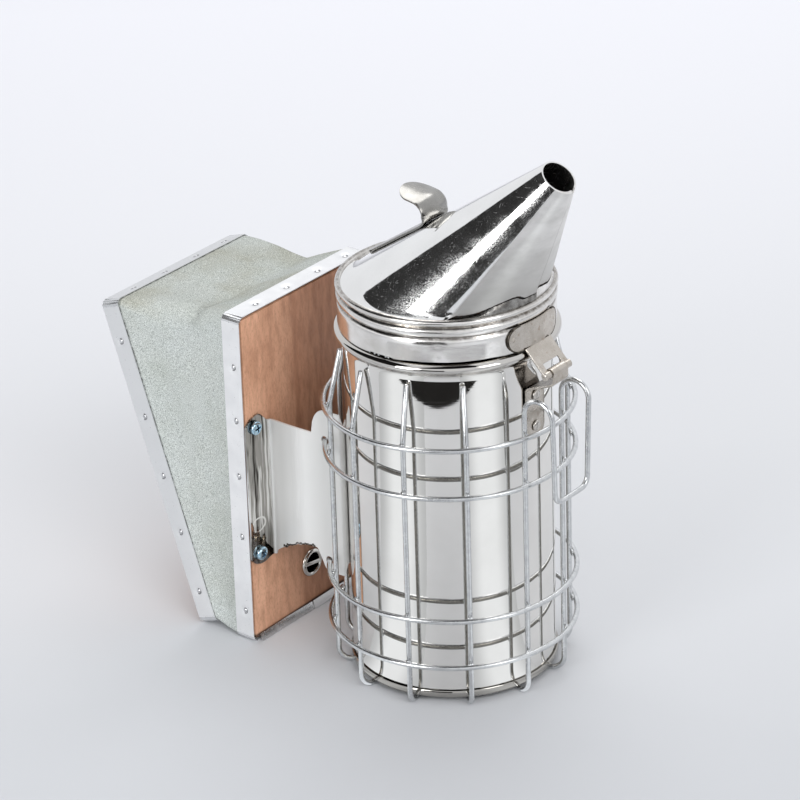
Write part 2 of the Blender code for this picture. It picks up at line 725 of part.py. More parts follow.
def make_spring():
    """A coil whose first turn lies on the front board and whose last lies on the tilted rear board."""
    seat = SPRING_WIRE + GAP
    rear_height = SPRING_HEIGHT * REAR_HEIGHT / FRONT_HEIGHT
    per_turn = 10
    count = SPRING_TURNS * per_turn
    path = []
    for k in range(count + 1):
        a = math.tau * k / per_turn
        y = SPRING_RADIUS * math.cos(a)
        up = SPRING_RADIUS * math.sin(a)
        on_front = front_point(-seat, y, SPRING_HEIGHT + up)
        on_rear = rear_point(-seat, y, rear_height + up)
        path.append(on_front.lerp(on_rear, k / count))
    gaps = [
        (path[i] - path[j]).length - 2 * SPRING_WIRE
        for i in range(count)
        for j in range(i + per_turn // 2, count + 1)
    ]
    print(f"bellows_spring: least gap between its turns {min(gaps) * 1000:.2f} mm")
    add("bellows_spring", wire(path, SPRING_WIRE), SPRING_STEEL)


def make_ferrule():
    """A flanged tube through the front board, with a bar across its mouth."""
    seat = GAP
    rim = seat + FERRULE_RIM_HEIGHT
    profile = [
        (FERRULE_BORE, rim),
        (FERRULE_RIM - FERRULE_RIM_HEIGHT / 2, rim),
        (FERRULE_RIM, seat + FERRULE_RIM_HEIGHT / 2),
        (FERRULE_RIM, seat),
        (FERRULE_TUBE, seat),
        (FERRULE_TUBE, -BOARD),
        (FERRULE_BORE, -BOARD),
    ]
    place = Vector((-FRONT_FACE, FERRULE_ASIDE, AIR_HEIGHT))
    ferrule = add("air_outlet_ferrule", facing(turned(profile, 20), place, (1, 0, 0)), STAINLESS)
    across = (FERRULE_BORE + FERRULE_TUBE) / 2
    bar = block(
        place + Vector((seat, -across, -FERRULE_BAR / 2)),
        place + Vector((rim - GAP, across, FERRULE_BAR / 2)),
    )
    combine(ferrule, "UNION", bar)


def make_lid_collar():
    inside = COLLAR_RADIUS - LID_SHEET
    profile = [(inside, COLLAR_TOP)]
    for drop, reach in ((UPPER_BEAD_DROP, UPPER_BEAD_REACH), (LOWER_BEAD_DROP, LOWER_BEAD_REACH)):
        profile += swell(COLLAR_RADIUS, COLLAR_TOP - drop, reach, COLLAR_BEAD_HALF, 4)
    profile += [(COLLAR_RADIUS, COLLAR_BOTTOM), (inside, COLLAR_BOTTOM)]
    add("lid_collar", turned(profile), STAINLESS, LID_AXIS)


def cone_loop(radius, nozzle_radius, share, lap, count=48):
    """A loop of the cone, from share 0 at its base to 1 at the nozzle, stepping out by lap at its seam."""
    loop = []
    for k in range(count):
        angle = math.tau * k / count
        step = lap * smooth_step(4 * (k / count - 0.75))
        base = around(radius + step, angle, CONE_BASE)
        spread = (nozzle_radius + step) * math.cos(angle) * NOZZLE_DOWN
        spread.y = (nozzle_radius + step) * math.sin(angle)
        notch = NOTCH_DEPTH / (NOZZLE_CENTRE.z - CONE_BASE) if share == 1 and 0 < k < 4 else 0
        loop.append(base.lerp(NOZZLE_CENTRE + spread, share - notch))
    return loop


def make_lid_cone():
    """Rolled sheet that narrows to a tilted nozzle, with its lapped seam along the front."""
    inner = CONE_RADIUS - LID_SHEET
    inner_nozzle = NOZZLE_RADIUS - LID_SHEET
    foot = CONE_BASE - SKIRT_DEPTH
    outer_skirt = [Vector((p.x, p.y, foot)) for p in cone_loop(CONE_RADIUS, NOZZLE_RADIUS, 0, 0)]
    inner_skirt = [Vector((p.x, p.y, foot)) for p in cone_loop(inner, inner_nozzle, 0, 0)]
    loops = [outer_skirt, cone_loop(CONE_RADIUS, NOZZLE_RADIUS, 0, 0)]
    loops += [cone_loop(CONE_RADIUS, NOZZLE_RADIUS, share, LAP_STEP) for share in (0.04, 0.35, 0.7, 1)]
    loops += [cone_loop(inner, inner_nozzle, share, 0) for share in (1, 0.7, 0.35, 0)]
    add("lid_cone", closed_loft(loops + [inner_skirt]), STAINLESS, LID_AXIS)


def turn_on(path, radius, start, stop, steps):
    """Carries a path in the XZ plane round an arc, from one heading to another."""
    end = path[-1]
    for k in range(1, steps + 1):
        a = start + (stop - start) * k / steps
        path.append(
            end + radius * Vector((math.sin(a) - math.sin(start), 0, math.cos(start) - math.cos(a)))
        )
    return path


def run_on(path, length, heading):
    path.append(path[-1] + length * Vector((math.cos(heading), 0, math.sin(heading))))
    return path


def make_thumb_lift():
    """A strap fixed along the back of the cone, bent up into a curled thumb tongue."""
    foot = around(CONE_RADIUS, math.pi, CONE_BASE)
    top = NOZZLE_CENTRE - NOZZLE_DOWN * NOZZLE_RADIUS
    along = (top - foot).normalized()
    heading = math.atan2(along.z, along.x)
    out = Vector((-along.z, 0, along.x))
    start = foot + along * LIFT_START + out * (GAP + LIFT_SHEET / 2)
    rise = math.radians(95)
    back = math.radians(172)
    path = [start + along * LIFT_WIDTH * share for share in (0, 0.05, 0.15, 0.3)]
    path = run_on(path, LIFT_STRAP - LIFT_WIDTH * 0.3, heading)
    path = turn_on(path, LIFT_NECK, heading, rise, 5)
    path = turn_on(path, LIFT_CURL, rise, back, 6)
    for share in (0.45, 0.25, 0.15, 0.1, 0.05):
        path = run_on(path, LIFT_TONGUE * share, back)
    lengths = [0]
    for first, second in zip(path, path[1:]):
        lengths.append(lengths[-1] + (second - first).length)
    pairs = []
    for point, length in zip(path, lengths):
        end = min(length, lengths[-1] - length)
        rounding = min(1, end / (LIFT_WIDTH * 0.4))
        half = LIFT_WIDTH / 2 * max(0.25, math.sqrt(1 - (1 - rounding) ** 2))
        pairs.append((point + Vector((0, -half, 0)), point + Vector((0, half, 0))))
    lift = add("thumb_lift", strip(pairs), STAINLESS, LID_AXIS)
    thicken(lift, LIFT_SHEET)


def make_upper_leaf():
    """A strap round the front of the collar, with a slotted plate that slopes down to the hinge bar."""
    ring = COLLAR_RADIUS + GAP + LEAF_SHEET / 2
    middle = (STRAP_LOW + STRAP_HIGH) / 2
    half = (STRAP_HIGH - STRAP_LOW) / 2
    strap_angle = STRAP_HALF_LENGTH / ring
    end_angle = half / ring
    steps = 20
    pairs = []
    for k in range(steps + 1):
        angle = strap_angle * math.sin(math.pi * (k / steps - 0.5))
        past = max(0, (abs(angle) - strap_angle + end_angle) / end_angle)
        reach = half * max(0.2, math.sqrt(max(0, 1 - past * past)))
        pairs.append((around(ring, angle, middle - reach), around(ring, angle, middle + reach)))
    leaf = add("hinge_upper_leaf", strip(pairs), STAINLESS, LID_AXIS)
    thicken(leaf, LEAF_SHEET)
    axis = Vector((HINGE_X, 0, HINGE_Z))
    root = Vector((ring + LEAF_SHEET * 0.1, 0, STRAP_LOW + LEAF_SHEET * 0.4))
    along = root - axis
    heading = Matrix.Translation(axis) @ along.to_track_quat("X", "Z").to_matrix().to_4x4()
    plate = block(
        (0, -PLATE_WIDTH / 2, -LEAF_SHEET / 2), (along.length, PLATE_WIDTH / 2, LEAF_SHEET / 2)
    )
    plate.transform(heading)
    plate_tool = combine(leaf, "UNION", plate, LID_AXIS)
    slot = block((-HINGE_BAR * 2, -SLOT_WIDTH / 2, -LEAF_SHEET), (SLOT_REACH, SLOT_WIDTH / 2, LEAF_SHEET))
    slot.transform(heading)
    combine(plate_tool, "DIFFERENCE", slot, LID_AXIS)
    half_bar = Vector((0, PLATE_WIDTH / 2 - GAP / 2, 0))
    combine(leaf, "UNION", rod(HINGE_BAR, axis - half_bar, axis + half_bar, 12), LID_AXIS)


def make_lower_leaf():
    """A strip riveted to the pot, bent outward and curled round the hinge bar through the plate's slot."""
    face = POT_RADIUS + GAP + LEAF_SHEET / 2
    curl = HINGE_BAR + GAP + LEAF_SHEET / 2
    axis = Vector((HINGE_X, 0, HINGE_Z))
    corners = [
        Vector((face, 0, LEAF_BOTTOM)),
        Vector((face, 0, LEAF_BEND)),
        axis + Vector((curl, 0, -2.6 * curl)),
        axis + Vector((curl, 0, 0)),
    ]
    run = rounded_path(corners, (LEAF_BEND_RADIUS, LEAF_BEND_RADIUS), 4)
    first, last = math.radians(20), math.radians(215)
    steps = 8
    for k in range(steps + 1):
        a = first + (last - first) * k / steps
        run.append(axis + curl * Vector((math.cos(a), 0, math.sin(a))))
    end_round = [run[0].lerp(run[1], share) for share in (0.04, 0.12, 0.24)]
    path = [run[0], *end_round, *run[1:]]
    pairs = []
    for point in path:
        end = min(1, max(0, point.z - LEAF_BOTTOM) / (LEAF_WIDTH / 2))
        half = LEAF_WIDTH / 2 * max(0.3, math.sqrt(1 - (1 - end) ** 2))
        narrow = smooth_step((point.z - LEAF_BEND) / (HINGE_Z - 2 * curl - LEAF_BEND))
        half += (KNUCKLE_WIDTH - LEAF_WIDTH) / 2 * narrow
        pairs.append((point + Vector((0, -half, 0)), point + Vector((0, half, 0))))
    leaf = add("hinge_lower_leaf", strip(pairs), STAINLESS)
    thicken(leaf, LEAF_SHEET)
    holes = [
        rod(RIVET_SHANK + GAP, (POT_RADIUS - LEAF_SHEET, 0, z), (POT_RADIUS + 3 * LEAF_SHEET, 0, z), 10)
        for z in RIVET_HEIGHTS
    ]
    combine(leaf, "DIFFERENCE", merged(holes))


def make_rivets():
    seat = POT_RADIUS + LEAF_SHEET + 2 * GAP
    tail = POT_RADIUS - POT_SHEET - GAP
    tail_head = RIVET_HEAD * 0.85
    tail_end = tail - RIVET_HEAD_HEIGHT * 0.6
    profile = [(0, seat + RIVET_HEAD_HEIGHT), (RIVET_HEAD * 0.55, seat + RIVET_HEAD_HEIGHT * 0.8)]
    profile += [(RIVET_HEAD, seat + RIVET_HEAD_HEIGHT * 0.2), (RIVET_HEAD, seat), (RIVET_SHANK, seat)]
    profile += [(RIVET_SHANK, tail), (tail_head, tail), (tail_head, tail_end), (0, tail_end)]
    for height, level in zip(RIVET_HEIGHTS, ("lower", "upper")):
        shape = facing(turned(profile, 12, ring=False), (0, 0, height), (1, 0, 0))
        add(f"hinge_rivet_{level}", shape, STAINLESS)


make_fire_pot()
make_pot_base()
make_inlet_tube()
make_grate()
make_heat_guard()
make_hook()
make_brackets()
make_screws()
make_boards()
make_band("front_edge_band", front_point, FRONT_HEIGHT, SMOKER, BAND_LIP)
make_band("rear_edge_band", rear_point, REAR_HEIGHT, SQUEEZE_AXIS, 0)
make_leather()
make_spring()
make_ferrule()
make_lid_collar()
make_lid_cone()
make_thumb_lift()
make_upper_leaf()
make_lower_leaf()
make_rivets()
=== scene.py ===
import math

import bmesh
import bpy
from mathutils import Matrix, Quaternion, Vector, noise


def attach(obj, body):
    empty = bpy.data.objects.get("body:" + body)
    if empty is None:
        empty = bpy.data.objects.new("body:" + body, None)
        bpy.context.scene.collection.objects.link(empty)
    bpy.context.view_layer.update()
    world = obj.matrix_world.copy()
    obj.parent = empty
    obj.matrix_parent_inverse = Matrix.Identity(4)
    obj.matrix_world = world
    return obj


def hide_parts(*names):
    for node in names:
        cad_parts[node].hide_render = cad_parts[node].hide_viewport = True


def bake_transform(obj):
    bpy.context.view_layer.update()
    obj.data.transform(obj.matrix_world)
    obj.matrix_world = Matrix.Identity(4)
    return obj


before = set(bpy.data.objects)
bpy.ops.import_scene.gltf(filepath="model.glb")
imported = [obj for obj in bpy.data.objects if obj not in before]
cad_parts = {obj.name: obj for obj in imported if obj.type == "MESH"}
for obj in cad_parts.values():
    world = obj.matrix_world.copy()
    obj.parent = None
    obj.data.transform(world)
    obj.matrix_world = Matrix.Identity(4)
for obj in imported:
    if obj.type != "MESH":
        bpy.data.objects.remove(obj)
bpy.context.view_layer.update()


# Fire pot: stainless sheet rolled into a can and polished to a mirror, with a stop bead swaged out under its
# plain neck. The polishing wheel left fine rings round it. The bead and the neck are painted darker as painted
# shade, and the seam round the foot is painted darker.
POT_X = 0.05092
POT_R = 0.0500
POT_FOOT = 0.0040
POT_TOP = 0.1890
POT_SHEET = 0.0008
STOP_BEAD_Z = 0.1780
STOP_BEAD_REACH = 0.0044
STOP_BEAD_HALF = 0.0030
INLET_Z = 0.0255
INLET_R = 0.0065
BEAD_FILLET = 0.0042
SEAM_LOW = 0.0029
SEAM_RISE = 0.0036
MIRROR_STEEL = (0.845, 0.828, 0.798)
MIRROR_SHADE = (0.795, 0.778, 0.748)
BEAD_PAINTED_SHADE = (0.62, 0.60, 0.57)
NECK_PAINTED_SHADE = (0.40, 0.38, 0.35)
SEAM_DARKER = (0.33, 0.315, 0.29)


def feed(tree, socket, value):
    """Sets a value on a socket, or links another node's output to it."""
    if isinstance(value, bpy.types.NodeSocket):
        tree.links.new(value, socket)
    else:
        socket.default_value = value


def plug(tree, made, **inputs):
    """Feeds the sockets of a shader node by their names."""
    for name, value in inputs.items():
        feed(tree, made.inputs[name.replace("_", " ")], value)


def node(tree, kind, modes=None, **inputs):
    """Adds a shader node, with its modes set and its sockets fed."""
    made = tree.nodes.new("ShaderNode" + kind)
    for name, mode in (modes or {}).items():
        setattr(made, name, mode)
    plug(tree, made, **inputs)
    return made


def blank(name, metallic, roughness=0.5):
    """A new material: (material, its node tree, its shader, the place on the piece)."""
    material = bpy.data.materials.new(name)
    material.use_nodes = True
    tree = material.node_tree
    shader = tree.nodes["Principled BSDF"]
    plug(tree, shader, Metallic=metallic, Roughness=roughness)
    return material, tree, shader, node(tree, "TexCoord").outputs["Object"]


def mix(tree, factor, a, b, blend="MIX"):
    """A blend of two colours, each a colour or the output of a node."""
    a, b = ((*c, 1) if isinstance(c, tuple) and len(c) == 3 else c for c in (a, b))
    made = node(tree, "Mix", {"data_type": "RGBA", "blend_type": blend}, Factor=factor, A=a, B=b)
    return made.outputs["Result"]


def spread(tree, value, low, high, start=0.0, stop=1.0):
    """A number from low to high, as a value goes from start to stop."""
    made = node(tree, "MapRange", Value=value, From_Min=start, From_Max=stop, To_Min=low, To_Max=high)
    return made.outputs["Result"]


def speckle(tree, where, stretch, detail=3.0, roughness=0.55):
    """Noise of so many patches a metre, in all ways alike or along X, Y and Z."""
    stretch = stretch if isinstance(stretch, tuple) else (stretch, stretch, stretch)
    where = node(tree, "Mapping", Vector=where, Scale=stretch).outputs["Vector"]
    return node(tree, "TexNoise", Vector=where, Scale=1.0, Detail=detail, Roughness=roughness).outputs["Fac"]


def relief(tree, height, depth, normal=None):
    """A bump of so many metres, on top of another one."""
    made = node(tree, "Bump", Height=height, Distance=depth, Strength=1.0)
    if normal:
        plug(tree, made, Normal=normal)
    return made.outputs["Normal"]


def metal(name, bright, dull, patch, smooth, rough, grain, groove, wave, wave_depth):
    """Bare metal: two tones in patches, fine lines in its gloss and relief, and slow waves in the sheet.

    The patches, the grain and the waves are so many a metre, and the groove and the waves so many metres deep.
    """
    material, tree, shader, place = blank(name, 1)
    tone = speckle(tree, place, patch, 6)
    lines = speckle(tree, place, grain, 3)
    slow = relief(tree, speckle(tree, place, wave, 1), wave_depth)
    plug(
        tree, shader,
        Base_Color=mix(tree, spread(tree, tone, 0, 1, 0.35, 0.68), bright, dull),
        Roughness=spread(tree, lines, smooth, rough, 0.40, 0.72),
        Normal=relief(tree, spread(tree, lines, 0, 1, 0.45, 0.75), groove, slow),
    )
    return material


def laid_tone(material):
    """A finished metal to be toned further: (its node tree, its shader, the colour that it has so far)."""
    shader = material.node_tree.nodes["Principled BSDF"]
    return material.node_tree, shader, shader.inputs["Base Color"].links[0].from_socket


def smooth_step(x):
    """A soft step from 0 to 1, as x goes from 0 to 1."""
    x = min(1.0, max(0.0, x))
    return x * x * (3 - 2 * x)


def around(radius, angle, height):
    """A point so far from the pot's axis."""
    return Vector((radius * math.cos(angle), radius * math.sin(angle), height))


def bead(radius, height, reach, half, steps=12):
    """The half-round outline of a bead rolled out of a wall, from its top edge to its bottom edge."""
    angles = [math.pi / 2 - math.pi * k / steps for k in range(steps + 1)]
    return [(radius + reach * math.cos(a), height + half * math.sin(a)) for a in angles]


def filleted_bead(radius, height, reach, half, fillet):
    """A bead whose lower side runs out into the wall in a soft fillet."""
    outline = [point for point in bead(radius, height, reach, half, 24) if point[1] > height - half * 0.8]
    start = Vector(outline[-1])
    leave = (start - Vector(outline[-2])).normalized() * fillet * 0.45
    over = Vector((radius, height - half - fillet * 0.2))
    end = Vector((radius, height - half - fillet))
    steps = 10
    for k in range(1, steps + 1):
        t = k / steps
        point = (1 - t) ** 3 * start + 3 * t * (1 - t) ** 2 * (start + leave)
        point = point + 3 * t * t * (1 - t) * over + t**3 * end
        outline.append((point.x, point.y))
    return outline


def turned(outline, steps=192, ring=True):
    """Spins (radius, height) points round Z. A ring's outline is closed, a solid's ends on the axis."""
    bm = bmesh.new()
    points = [bm.verts.new((radius, 0, height)) for radius, height in outline]
    ends = points[1:] + points[:1] if ring else points[1:]
    edges = [bm.edges.new(pair) for pair in zip(points, ends)]
    bmesh.ops.spin(
        bm, geom=points + edges, axis=(0, 0, 1), cent=(0, 0, 0), angle=math.tau, steps=steps, use_merge=True
    )
    bmesh.ops.remove_doubles(bm, verts=bm.verts, dist=1e-6)
    return bm


def facing(bm, place, direction):
    """Turns a shape's Z axis to a direction and moves its origin to a place."""
    turn = Vector(direction).to_track_quat("Z", "Y").to_matrix().to_4x4()
    bmesh.ops.transform(bm, verts=bm.verts, matrix=Matrix.Translation(place) @ turn)
    return bm


def as_object(name, bm, sharp=38):
    """A shape drawn round the pot's axis, as an object in the scene."""
    bmesh.ops.recalc_face_normals(bm, faces=bm.faces)
    bmesh.ops.translate(bm, verts=bm.verts, vec=(POT_X, 0, 0))
    mesh = bpy.data.meshes.new(name)
    bm.to_mesh(mesh)
    bm.free()
    mesh.shade_smooth()
    mesh.set_sharp_from_angle(angle=math.radians(sharp))
    made = bpy.data.objects.new(name, mesh)
    bpy.context.collection.objects.link(made)
    return made


def settled(made, cutters=()):
    """Applies what shapes an object, with other objects cut out of it, and leaves a plain mesh."""
    for cutter in cutters:
        boolean = made.modifiers.new("cut", "BOOLEAN")
        boolean.object = cutter
        boolean.solver = "EXACT"
    bpy.context.view_layer.update()
    shape = made.evaluated_get(bpy.context.evaluated_depsgraph_get())
    mesh = bpy.data.meshes.new_from_object(shape)
    made.modifiers.clear()
    made.data = mesh
    mesh.set_sharp_from_angle(angle=math.radians(38))
    for cutter in cutters:
        bpy.data.objects.remove(cutter)
    return made


def coat(made, finish):
    """Gives a piece its one finish."""
    made.data.materials.clear()
    made.data.materials.append(finish)


def fix(made, finish, body, slot, *stands_for):
    """Gives a piece its finish, lets it move with a body, and puts it in place of CAD nodes."""
    coat(made, finish)
    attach(made, body)
    if stands_for:
        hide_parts(*stands_for)
    return made


mirror = metal(
    "mirror_polished_stainless", MIRROR_STEEL, MIRROR_SHADE,
    patch=45, smooth=0.015, rough=0.04, grain=(25, 25, 1800), groove=0.0000004, wave=22, wave_depth=0.00006,
)
tree, shader, steel_tone = laid_tone(mirror)
height = node(tree, "SeparateXYZ", Vector=node(tree, "TexCoord").outputs["Object"]).outputs["Z"]
seam_top = SEAM_LOW + SEAM_RISE
# The bead and the neck are painted darker, as painted shade; the seam round the foot is painted darker.
for darker_tone, low, high, start, stop in (
    (BEAD_PAINTED_SHADE, 0, 1, STOP_BEAD_Z - 0.0060, STOP_BEAD_Z - 0.0030),
    (NECK_PAINTED_SHADE, 0, 1, STOP_BEAD_Z + 0.0026, STOP_BEAD_Z + 0.0034),
    (SEAM_DARKER, 0.85, 0, seam_top, seam_top + 0.0006),
):
    steel_tone = mix(tree, spread(tree, height, low, high, start, stop), steel_tone, darker_tone)
plug(tree, shader, Base_Color=steel_tone)
inner_wall = POT_R - POT_SHEET
wall_outline = [
    (POT_R - POT_SHEET / 4, POT_TOP),
    (POT_R, POT_TOP - POT_SHEET / 4),
    *filleted_bead(POT_R, STOP_BEAD_Z, STOP_BEAD_REACH, STOP_BEAD_HALF, BEAD_FILLET),
    *((POT_R, STOP_BEAD_Z - STOP_BEAD_HALF - BEAD_FILLET - drop) for drop in (0.0003, 0.0015, 0.0080)),
    (POT_R, POT_FOOT),
    (inner_wall, POT_FOOT),
    *reversed(bead(inner_wall, STOP_BEAD_Z, STOP_BEAD_REACH, STOP_BEAD_HALF - POT_SHEET)),
    (inner_wall, POT_TOP - POT_SHEET / 4),
    (inner_wall + POT_SHEET / 4, POT_TOP),
]
inlet_hole = turned([(0, 0), (INLET_R, 0), (INLET_R, POT_R / 2), (0, POT_R / 2)], 32, ring=False)
inlet_hole = as_object("inlet_hole", facing(inlet_hole, (-POT_R * 1.2, 0, INLET_Z), (1, 0, 0)))
pot_wall = settled(as_object("pot_wall", turned(wall_outline)), [inlet_hole])
fix(pot_wall, mirror, "pot", "polished_stainless", "fire_pot")


# Pot floor: a stainless disc, pressed up in its middle and double-seamed over the wall's bottom edge. Its
# rolled seam is the dark line round the foot of the can.
SEAM_R = POT_R + 0.0011
FLOOR_Z = SEAM_LOW + 0.0040
SEAM_ROUND = 0.0004

floor_outline = [
    (0, FLOOR_Z + POT_SHEET),
    (inner_wall - SEAM_ROUND, FLOOR_Z + POT_SHEET),
    (inner_wall - SEAM_ROUND, SEAM_LOW + 2 * POT_SHEET),
    (POT_R + SEAM_ROUND / 2, SEAM_LOW + 2 * POT_SHEET),
    (POT_R + SEAM_ROUND / 2, SEAM_LOW + SEAM_RISE - SEAM_ROUND / 2),
    (SEAM_R - SEAM_ROUND, SEAM_LOW + SEAM_RISE),
    (SEAM_R, SEAM_LOW + SEAM_RISE - SEAM_ROUND),
    (SEAM_R, SEAM_LOW + SEAM_ROUND),
    (SEAM_R - SEAM_ROUND, SEAM_LOW),
    (inner_wall - POT_SHEET - SEAM_ROUND, SEAM_LOW),
    (inner_wall - POT_SHEET - 2 * SEAM_ROUND, SEAM_LOW + SEAM_ROUND),
    (inner_wall - POT_SHEET - 2 * SEAM_ROUND, FLOOR_Z),
    (0, FLOOR_Z),
]
fix(
    as_object("pot_floor", turned(floor_outline, ring=False), 50),
    mirror, "pot", "polished_stainless", "pot_base",
)


# Air inlet: a short stainless tube let into the wall low at the back, opposite the bellows' outlet. Fire has
# left straw and brown heat tints round it.
TUBE_OUT = 0.0090
TUBE_IN = 0.0040
TUBE_SHEET = 0.0008
TINT_STRAW = (0.70, 0.66, 0.58)
TINT_BROWN = (0.50, 0.40, 0.28)

heat_tinted = metal(
    "heat_tinted_stainless", TINT_STRAW, TINT_BROWN,
    patch=120, smooth=0.14, rough=0.32, grain=300, groove=0.000006, wave=60, wave_depth=0.00005,
)
tube_length = TUBE_OUT + TUBE_IN
bore = INLET_R - TUBE_SHEET
tube_outline = [
    (INLET_R, tube_length), (INLET_R, TUBE_SHEET / 3), (INLET_R - TUBE_SHEET / 3, 0),
    (bore + TUBE_SHEET / 3, 0), (bore, TUBE_SHEET / 3), (bore, tube_length),
]
inlet = facing(turned(tube_outline, 48), (-POT_R - TUBE_OUT, 0, INLET_Z), (1, 0, 0))
fix(as_object("inlet_tube", inlet), heat_tinted, "pot", "polished_stainless", "air_inlet_tube")


# Fuel grate: a pierced steel disc on three bent legs that keeps the fuel above the air inlet. It is loose, and
# the fire has turned it black and rusty.
SOOT = (0.045, 0.042, 0.040)
SCALE_RUST = (0.16, 0.085, 0.050)

sooty, tree, shader, place = blank("sooted_steel", 0.6)
crust = speckle(tree, place, 260, 8, 0.7)
plug(
    tree, shader,
    Base_Color=mix(tree, spread(tree, crust, 0, 1, 0.48, 0.70), SOOT, SCALE_RUST),
    Roughness=spread(tree, crust, 0.55, 0.85, 0.3, 0.7),
    Normal=relief(tree, crust, 0.0004),
)
coat(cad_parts["fuel_grate"], sooty)


# Heat guard rings: four hoops of drawn galvanised wire with a dull bloom, painted darker on the side toward the
# pot as painted shade. The top and bottom ones stop short behind the pot, and the two between them end in holes
# of the brackets.
WIRE = 0.0013
GUARD_R = POT_R + 0.0104
RING_HEIGHTS = (0.0245, 0.0495, 0.1150, 0.1400)
RING_STOP = math.radians(167.5)
RING_HOOKED = math.radians(151.95)
RING_STEPS = 140
RING_SWAY = 0.0002
RING_RIPPLE = 0.0004
ZINC_BRIGHT = (0.70, 0.71, 0.715)
ZINC_BLOOM = (0.57, 0.58, 0.59)
ZINC_PAINTED_SHADE = (0.30, 0.295, 0.28)


def maths(tree, operation, *values, kind="Math"):
    """A number, or a vector where the kind is VectorMath, worked out from one or two others."""
    made = node(tree, kind, {"operation": operation})
    for socket, value in zip(made.inputs, values):
        feed(tree, socket, value)
    is_number = kind == "Math" or operation in ("DOT_PRODUCT", "LENGTH")
    return made.outputs["Value" if is_number else "Vector"]


def bridge(bm, rows, closed=True):
    """Faces between neighbouring rows of points. In a closed row the last point joins the first."""
    for row, following in zip(rows, rows[1:]):
        for k in range(len(row) if closed else len(row) - 1):
            j = (k + 1) % len(row)
            bm.faces.new((row[k], row[j], following[j], following[k]))


def tube(bm, path, radius, sides=14):
    """Adds a round wire along a path, with its ends cut square and the burr rubbed off."""
    last = len(path) - 1
    along = [(path[min(i + 1, last)] - path[max(i - 1, 0)]).normalized() for i in range(last + 1)]
    burr = radius * 0.25
    stations = [(path[0], along[0], radius - burr), (path[0] + along[0] * burr, along[0], radius)]
    stations += [(path[i], along[i], radius) for i in range(1, last)]
    stations += [(path[-1] - along[-1] * burr, along[-1], radius), (path[-1], along[-1], radius - burr)]
    side = along[0].orthogonal().normalized()
    rings = []
    for point, heading, size in stations:
        side = (side - heading * side.dot(heading)).normalized()
        over = heading.cross(side)
        turns = [math.tau * k / sides for k in range(sides)]
        rings.append([bm.verts.new(point + size * (side * math.cos(a) + over * math.sin(a))) for a in turns])
    bridge(bm, rings)
    bm.faces.new(reversed(rings[0]))
    bm.faces.new(rings[-1])


galvanised = metal(
    "galvanised_wire", ZINC_BRIGHT, ZINC_BLOOM,
    patch=260, smooth=0.20, rough=0.30, grain=1500, groove=0.000003, wave=300, wave_depth=0.00001,
)
tree, shader, zinc = laid_tone(galvanised)
# Painted shade: the wire's faces toward the pot are painted darker.
place = node(tree, "TexCoord").outputs["Object"]
from_axis = node(tree, "Mapping", Vector=place, Location=(-POT_X, 0, 0)).outputs["Vector"]
from_axis = maths(tree, "MULTIPLY", from_axis, (1, 1, 0), kind="VectorMath")
from_axis = maths(tree, "NORMALIZE", from_axis, kind="VectorMath")
normal = node(tree, "NewGeometry").outputs["Normal"]
outward = maths(tree, "DOT_PRODUCT", from_axis, normal, kind="VectorMath")
plug(tree, shader, Base_Color=mix(tree, spread(tree, outward, 0.9, 0, -0.85, -0.35), zinc, ZINC_PAINTED_SHADE))
for k, height in enumerate(RING_HEIGHTS):
    end = RING_HOOKED if k in (1, 2) else RING_STOP
    hoop = []
    for i in range(RING_STEPS + 1):
        angle = end * (2 * i / RING_STEPS - 1)
        wander = Vector((math.cos(angle) * 1.6, math.sin(angle) * 1.6, 7.0 * k))
        radius = GUARD_R + RING_SWAY * noise.noise(wander)
        hoop.append(around(radius, angle, height + RING_RIPPLE * noise.noise(-wander)))
    bm = bmesh.new()
    tube(bm, hoop, WIRE)
    fix(as_object(f"ring_{k + 1}", bm, 60), galvanised, "pot", "galvanised_wire", f"guard_ring_{k + 1}")


# Heat guard staves: ten upright wires spot-welded inside the rings. Each is bent in under the pot's rim as a
# foot, and its top leans on the wall below the stop bead.
STAVE_R = GUARD_R - 2 * WIRE - 0.0003
STAVE_COUNT = 12
STAVE_TOP = STOP_BEAD_Z - 0.0090
LEAN_START = 0.1415
FOOT_BEND = 0.0070
FOOT_END = POT_R - 0.0045
WELD = 0.0013


def rounded_path(corners, radii, steps=8):
    """Straight runs between corners, with each inner corner rounded to its own radius."""
    corners = [Vector(corner) for corner in corners]
    path = [corners[0]]
    for before, corner, after, radius in zip(corners, corners[1:], corners[2:], radii):
        back = (before - corner).normalized()
        on = (after - corner).normalized()
        half = back.angle(on) / 2
        centre = corner + (back + on).normalized() * (radius / math.sin(half))
        first = corner + back * (radius / math.tan(half)) - centre
        last = corner + on * (radius / math.tan(half)) - centre
        axis = first.cross(last)
        turn = first.angle(last)
        path += [centre + Quaternion(axis, turn * k / steps) @ first for k in range(steps + 1)]
    return path + [corners[-1]]


def blob(bm, place, angle, stretch, radius, fineness):
    """A lump of metal, stretched outward from the pot's axis, along the wall and up."""
    turn = Matrix.Translation(place) @ Matrix.Rotation(angle, 4, "Z") @ Matrix.Diagonal((*stretch, 1))
    bmesh.ops.create_icosphere(bm, subdivisions=fineness, radius=radius, matrix=turn)


def weld_spots(bm, angle):
    """The squeezed metal where a stave crosses each ring."""
    for height in RING_HEIGHTS:
        place = around((GUARD_R + STAVE_R) / 2, angle, height)
        size = 1 + 0.15 * noise.noise(place * 300)
        blob(bm, place, angle, (0.7 * size, 1.35 * size, 1.35 * size), WELD, 2)


def stave_foot(angle):
    """The corners of a stave's foot, from under the pot's rim out to the upright."""
    return [around(FOOT_END, angle, WIRE), around(STAVE_R, angle, WIRE)]


